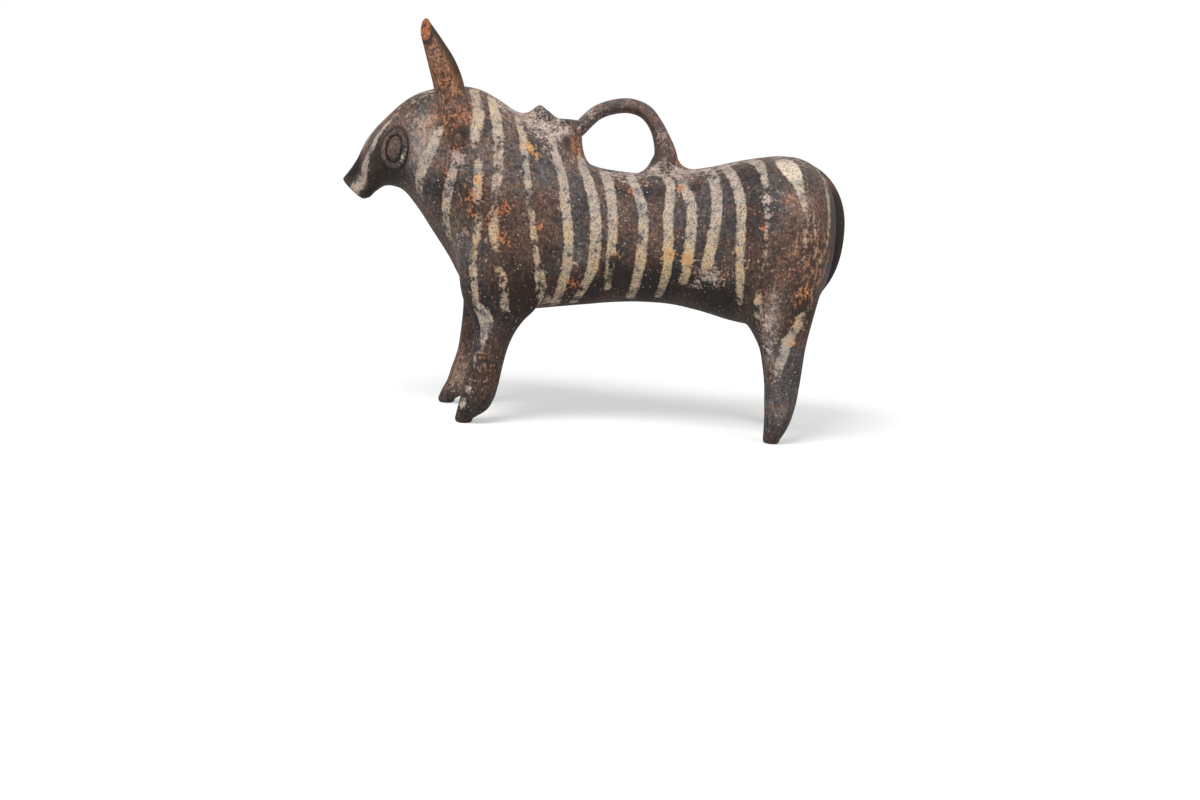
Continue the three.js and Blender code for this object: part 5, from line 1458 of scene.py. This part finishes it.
# %% [markdown]
# ## Filling collar
# The collar grows out of the back round the filling hole and rises to a point in front. Its rows run
# up the inside of the hole, over the thin lip and down the outside, which spreads onto the back.
# It could be turned on a lathe if hole and back were round and level. They aren't, so each row is an
# oval whose points look up the height of the back under them.

# %% Collar
LIP_WALL = 3.1
COLLAR_FLARE = 7.2
LIP_HEIGHT = 124
LIP_PEAK = 5.2
PEAK_THINNING = 0.3
REAR_TRIM = 2.2
FRONT_RUN = 3.5
COLLAR_COLUMNS = 176
COLLAR_INNER_ROWS = 16
ABOVE_ALL = 170.0
# widening and way down from the lip's top, row by row over the lip
LIP_ROUND = ((0.25, 0.45), (0.8, 0.1), (1.5, 0.0), (2.2, 0.12), (2.75, 0.5))


def collar_grid():
    """Rows of the collar: an oval round the hole, widened by a wall that dies away upwards.

    Outside, the widening is the lip's wall plus a flare times one minus the share of the height to a
    power of 2.4, which falls to 1.2 in front, and the height over the back is the share to a power
    of 1.7, so the foot runs out flat and the top stands upright.
    """
    angle = turns(COLLAR_COLUMNS)
    ahead = np.maximum(0, -np.cos(angle))
    lip = LIP_HEIGHT + LIP_PEAK * ahead
    thin = 1 - PEAK_THINNING * ahead
    behind = np.maximum(0, np.cos(angle)) ** 2
    flare = COLLAR_FLARE + FRONT_RUN * ahead - REAR_TRIM * behind

    def ring(wider):
        """Oval round the hole, wider by so much, high over the vessel."""
        return np.column_stack([HOLE_X + (HOLE_LENGTH + wider) * np.cos(angle),
                                HOLE_Y + (HOLE_WIDTH + wider) * np.sin(angle),
                                np.full_like(angle, ABOVE_ALL)])

    rows = []
    inner_floor = drop(ring(0.0), (0, 0, -1))[:, 2] - WALL - 0.6
    for share in np.linspace(0, 1, COLLAR_INNER_ROWS):
        row = ring(0.0)
        row[:, 2] = inner_floor + (lip - 1.0 - inner_floor) * share
        rows.append(row)
    for wider, down in LIP_ROUND:
        row = ring(wider * thin)
        row[:, 2] = lip - down
        rows.append(row)
    for share in np.linspace(0.94, 0, 30):
        wall = LIP_WALL * (1 + (thin - 1) * share ** 4)
        row = ring(wall + flare * (1 - share) ** (2.4 - 1.2 * ahead))
        foot = drop(row, (0, 0, -1))[:, 2]
        row[:, 2] = foot + np.maximum(lip - foot, 2) * share ** 1.7
        rows.append(row)
    toe = rows[-1]
    out = unit((toe - toe.mean(0)) * np.array([1, 1, 0]))
    rows.append(settle(toe + 0.6 * out, -0.3))
    for wider in (9, 5, 2.4):
        rows.append(settle(drop(ring(wider), (0, 0, -1)), -1.6 if wider > 5 else -2.5))
    bottom = ring(1.6)
    bottom[:, 2] = inner_floor
    rows.append(bottom)
    return np.stack(rows)


collar_rows = collar_grid()
is_inside = np.zeros(collar_rows.shape[:2])
is_inside[:COLLAR_INNER_ROWS] = np.linspace(1, 0.2, COLLAR_INNER_ROWS)[:, None]
make_piece("collar", ["filling_collar"], collar_rows.reshape(-1, 3),
           grid_quads(len(collar_rows), COLLAR_COLUMNS, ring=True), extra={"inside": is_inside.ravel()})

# %% [markdown]
# ## Strap handle
# A flat strap leaves the rear of the collar, bows over the back and comes down to it again, where it
# was pressed on and spreads.
# A curve with a bevel would make the strap, but not its pressed-on end. The tube of ovals uses the
# same helper for that end as the legs and horns do.

# %% Path of the handle
# half width and half thickness of the strap
STRAP_WIDTH, STRAP_THICK = 6, 2.95
STRAP_TOP = 131.8
STRAP_BOW = 8.4
ROOT_X, ROOT_Y = 28.2, 6.4
COLLAR_REAR = HOLE_X + HOLE_LENGTH + LIP_WALL / 2
ROOT_Z = float(drop(np.array([[ROOT_X, ROOT_Y, ABOVE_ALL]]), (0, 0, -1))[0, 2])
bow = lambda share: HOLE_Y + (STRAP_BOW - HOLE_Y) * share
ease = lambda share: ROOT_Y + (STRAP_BOW - ROOT_Y) * share
back = lambda share: COLLAR_REAR + (ROOT_X - COLLAR_REAR) * share
# x, y, z, half thickness, half width
STRAP = np.array([
    (COLLAR_REAR - 3.1, bow(0.1), LIP_HEIGHT - 7, STRAP_THICK, STRAP_WIDTH + 4),
    (back(0.01), bow(0.3), LIP_HEIGHT - 3.4, STRAP_THICK, STRAP_WIDTH + 3),
    (back(0.1), bow(0.6), LIP_HEIGHT + 0.8, STRAP_THICK, STRAP_WIDTH + 1.25),
    (back(0.19), bow(0.85), STRAP_TOP - 3.7, STRAP_THICK, STRAP_WIDTH + 0.6),
    (back(0.35), bow(1), STRAP_TOP - 1, STRAP_THICK, STRAP_WIDTH),
    (back(0.56), bow(1), STRAP_TOP, STRAP_THICK, STRAP_WIDTH),
    (back(0.74), ease(0.7), STRAP_TOP - 2, STRAP_THICK, STRAP_WIDTH),
    (back(0.86), ease(0.4), STRAP_TOP - 6.6, STRAP_THICK, STRAP_WIDTH),
    (back(0.94), ease(0.15), STRAP_TOP - 12, STRAP_THICK + 0.5, STRAP_WIDTH),
    (ROOT_X, ROOT_Y, ROOT_Z + 8.4, STRAP_THICK + 1.8, STRAP_WIDTH + 1),
    (ROOT_X, ROOT_Y, ROOT_Z + 3.4, STRAP_THICK + 3.5, STRAP_WIDTH + 2.5),
    (ROOT_X, ROOT_Y, ROOT_Z - 3, STRAP_THICK + 5, STRAP_WIDTH + 4),
])
print("strap's rear root at height", round(ROOT_Z, 1), "mm")

# %% Handle
STRAP_COLUMNS = 80
STRAP_ROWS = 240
fine = through(STRAP, np.linspace(0, len(STRAP) - 1, STRAP_ROWS))
strap_tube = swept_tube(fine[:, :3], (fine[:, 3], fine[:, 4]), STRAP_COLUMNS)
strap_grid, strap_inner = seat_on_skin(strap_tube, rise=6, spread=6.5, rows=110, foot_rows=16)
strap_start = strap_tube[0].mean(0)
strap_close = strap_start + (strap_tube[0] - strap_start) * 0.5
strap_grid = np.concatenate([strap_close[None], strap_grid])
add_tube("strap", "strap_handle", strap_grid, strap_start, strap_inner)

# %% [markdown]
# ## Tail
# The tail is a strip of clay laid down the end of the rump, thick in the middle.
# Its middle line is dropped onto the rump from behind, and only the outer half of each oval is
# raised, so the strip lies on the skin without a gap however the rump curves.

# %% Tail
TAIL_WIDTH, TAIL_DEPTH = 3.8, 4.6
TAIL_Y, TAIL_TOP, TAIL_END = -1.5, 112, 61
# The strip is painted black below this height, and wholly so a few mm further down, partly as
# dark slip and partly as painted shade on the end of the rump.
TAIL_DARK_FROM, TAIL_DARK_FADE = 106, 7
TAIL_ROWS, TAIL_COLUMNS = 60, 48
BEHIND_ALL = 140.0
tail_share = np.linspace(0.0, 1, TAIL_ROWS)
tail_height = TAIL_TOP + (TAIL_END - TAIL_TOP) * tail_share
behind = np.full(TAIL_ROWS, BEHIND_ALL)
line = drop(np.column_stack([behind, np.full(TAIL_ROWS, TAIL_Y), tail_height]), (-1, 0, 0))
slope = skin_slope(line) * np.array([1, 0, 1])
depth = TAIL_DEPTH * np.sin(np.pi * (0.01 + 0.97 * tail_share)) ** 0.9
width = TAIL_WIDTH * (0.5 + 0.5 * np.sin(np.pi * tail_share))
angle = turns(TAIL_COLUMNS)[None, :, None]
bulge = np.where(np.sin(angle) > 0, depth[:, None, None], 0.9)
tail_rows = (line[:, None] + np.cos(angle) * width[:, None, None] * np.array([0, 1, 0])
             + np.sin(angle) * bulge * unit(slope)[:, None])
points, quads, fans = closed_grid(tail_rows)
tail_dark_and_shade = 0.9 * np.clip((TAIL_DARK_FROM - points[:, 2]) / TAIL_DARK_FADE, 0, 1)
make_piece("tail_strip", ["tail"], points, quads, fans, extra={"soot_and_shade": tail_dark_and_shade})

# %% [markdown]
# ## Floor, light and camera
# The vessel stands on a pale floor in soft light. The camera looks along y from 600 mm away, the
# distance at which the perspective matches, rolled by 4 degrees as in the photograph.
# The camera sees a white background while the vessel is lit by less than that, because more light
# would wash its colours out. Shiny things, if any were added, would mirror the same white.


# %% Rays that see the background
def seen_directly(tree):
    """1 for rays from the camera, from a gloss or through glass, 0 for the light on the vessel."""
    light_path = tree.nodes.new("ShaderNodeLightPath")
    seen = light_path.outputs["Is Camera Ray"]
    for ray in ("Is Glossy Ray", "Is Transmission Ray"):
        either = tree.nodes.new("ShaderNodeMath")
        either.operation = "MAXIMUM"
        tree.links.new(seen, either.inputs[0])
        tree.links.new(light_path.outputs[ray], either.inputs[1])
        seen = either.outputs[0]
    return seen


# %% Floor
FLOOR_SIZE = 6.0
FLOOR_LIFT, FLOOR_FAR_LIFT = 0.3, 0.75
FLOOR_NEAR, FLOOR_FAR = 0.1, 1.4


def floor_material():
    """Matt pale floor. What the camera sees of it is lifted a little towards white, so that it joins
    the background, and the shadow of the vessel stays on it."""
    s = Shader("pale_floor")
    tint = s.over(s.noise(40), srgb(214, 214, 213), srgb(210, 210, 209))
    s.set(s.surface.inputs["Base Color"], tint)
    s.surface.inputs["Roughness"].default_value = 0.9
    s.surface.inputs["Emission Color"].default_value = (1, 1, 1, 1)
    length = s.tree.nodes.new("ShaderNodeVectorMath")
    length.operation = "LENGTH"
    s.set(length.inputs[0], s.place)
    far = s.step(length.outputs["Value"], FLOOR_NEAR, FLOOR_FAR)
    lift = s.math("MULTIPLY_ADD", far, FLOOR_FAR_LIFT - FLOOR_LIFT, FLOOR_LIFT)
    s.set(s.surface.inputs["Emission Strength"], s.math("MULTIPLY", seen_directly(s.tree), lift))
    return s.material


mesh = bpy.data.meshes.new("floor")
floor_corners = [(x * FLOOR_SIZE, y * FLOOR_SIZE, 0) for x, y in ((-1, -1), (1, -1), (1, 1), (-1, 1))]
mesh.from_pydata(floor_corners, [], [(0, 1, 2, 3)])
floor = bpy.data.objects.new("floor", mesh)
bpy.context.scene.collection.objects.link(floor)
floor.data.materials.append(floor_material())

# %% Background
WORLD_LIGHT, WORLD_SEEN = 0.56, 1.0
world = bpy.data.worlds.new("studio")
bpy.context.scene.world = world
world.use_nodes = True
tree = world.node_tree
background = tree.nodes["Background"]
strength = tree.nodes.new("ShaderNodeMapRange")
strength.inputs["To Min"].default_value = WORLD_LIGHT
strength.inputs["To Max"].default_value = WORLD_SEEN
tree.links.new(seen_directly(tree), strength.inputs["Value"])
tree.links.new(strength.outputs["Result"], background.inputs["Strength"])
background.inputs["Color"].default_value = (1, 1, 1, 1)
print("world lights the vessel at", WORLD_LIGHT, "and is seen at", WORLD_SEEN)


# %% Lamps
def add_lamp(name, place, aim, size, power):
    """Square soft lamp at a place in metres, turned towards a point."""
    lamp = bpy.data.lights.new(name, "AREA")
    lamp.size = size
    lamp.energy = power
    item = bpy.data.objects.new(name, lamp)
    item.location = place
    back = unit(np.array(place) - np.array(aim))
    right = unit(np.cross((0, 0, 1.0), back))
    item.rotation_mode = "QUATERNION"
    turn = Matrix(np.column_stack([right, np.cross(back, right), back]).tolist())
    item.rotation_quaternion = turn.to_quaternion()
    bpy.context.scene.collection.objects.link(item)


LIT_POINT = (0, 0, 0.08)
add_lamp("key", (-0.3, -0.6, 0.9), LIT_POINT, 0.5, 11.0)
add_lamp("fill", (0.6, -0.6, 0.45), LIT_POINT, 0.7, 3.0)
print(len(bpy.data.lights), "lamps")

# %% Camera
EYE = np.array([0, -0.600, 0.101])
AIM = np.array([0.008013, 0, 0.00899])
ROLL = np.radians(4)
LENS = 43.10


def place_camera():
    """Camera at EYE looking at AIM: its axes are right, up and back, turned by the roll."""
    forward = unit(AIM - EYE)
    right = unit(np.cross(forward, (0, 0, 1.0)))
    up = np.cross(right, forward)
    rolled_right = right * np.cos(ROLL) + up * np.sin(ROLL)
    rolled_up = up * np.cos(ROLL) - right * np.sin(ROLL)
    data = bpy.data.cameras.new("camera")
    data.lens = LENS
    data.sensor_width = 36
    data.sensor_fit = "HORIZONTAL"
    camera = bpy.data.objects.new("camera", data)
    axes = Matrix(np.column_stack([rolled_right, rolled_up, -forward]).tolist())
    camera.matrix_world = Matrix.Translation(EYE.tolist()) @ axes.to_4x4()
    bpy.context.scene.collection.objects.link(camera)
    bpy.context.scene.camera = camera


place_camera()
print("camera", round(float(np.linalg.norm(AIM - EYE)) * 1000), "mm from the point that it looks at")
bpy.context.scene.view_settings.view_transform = "Standard"
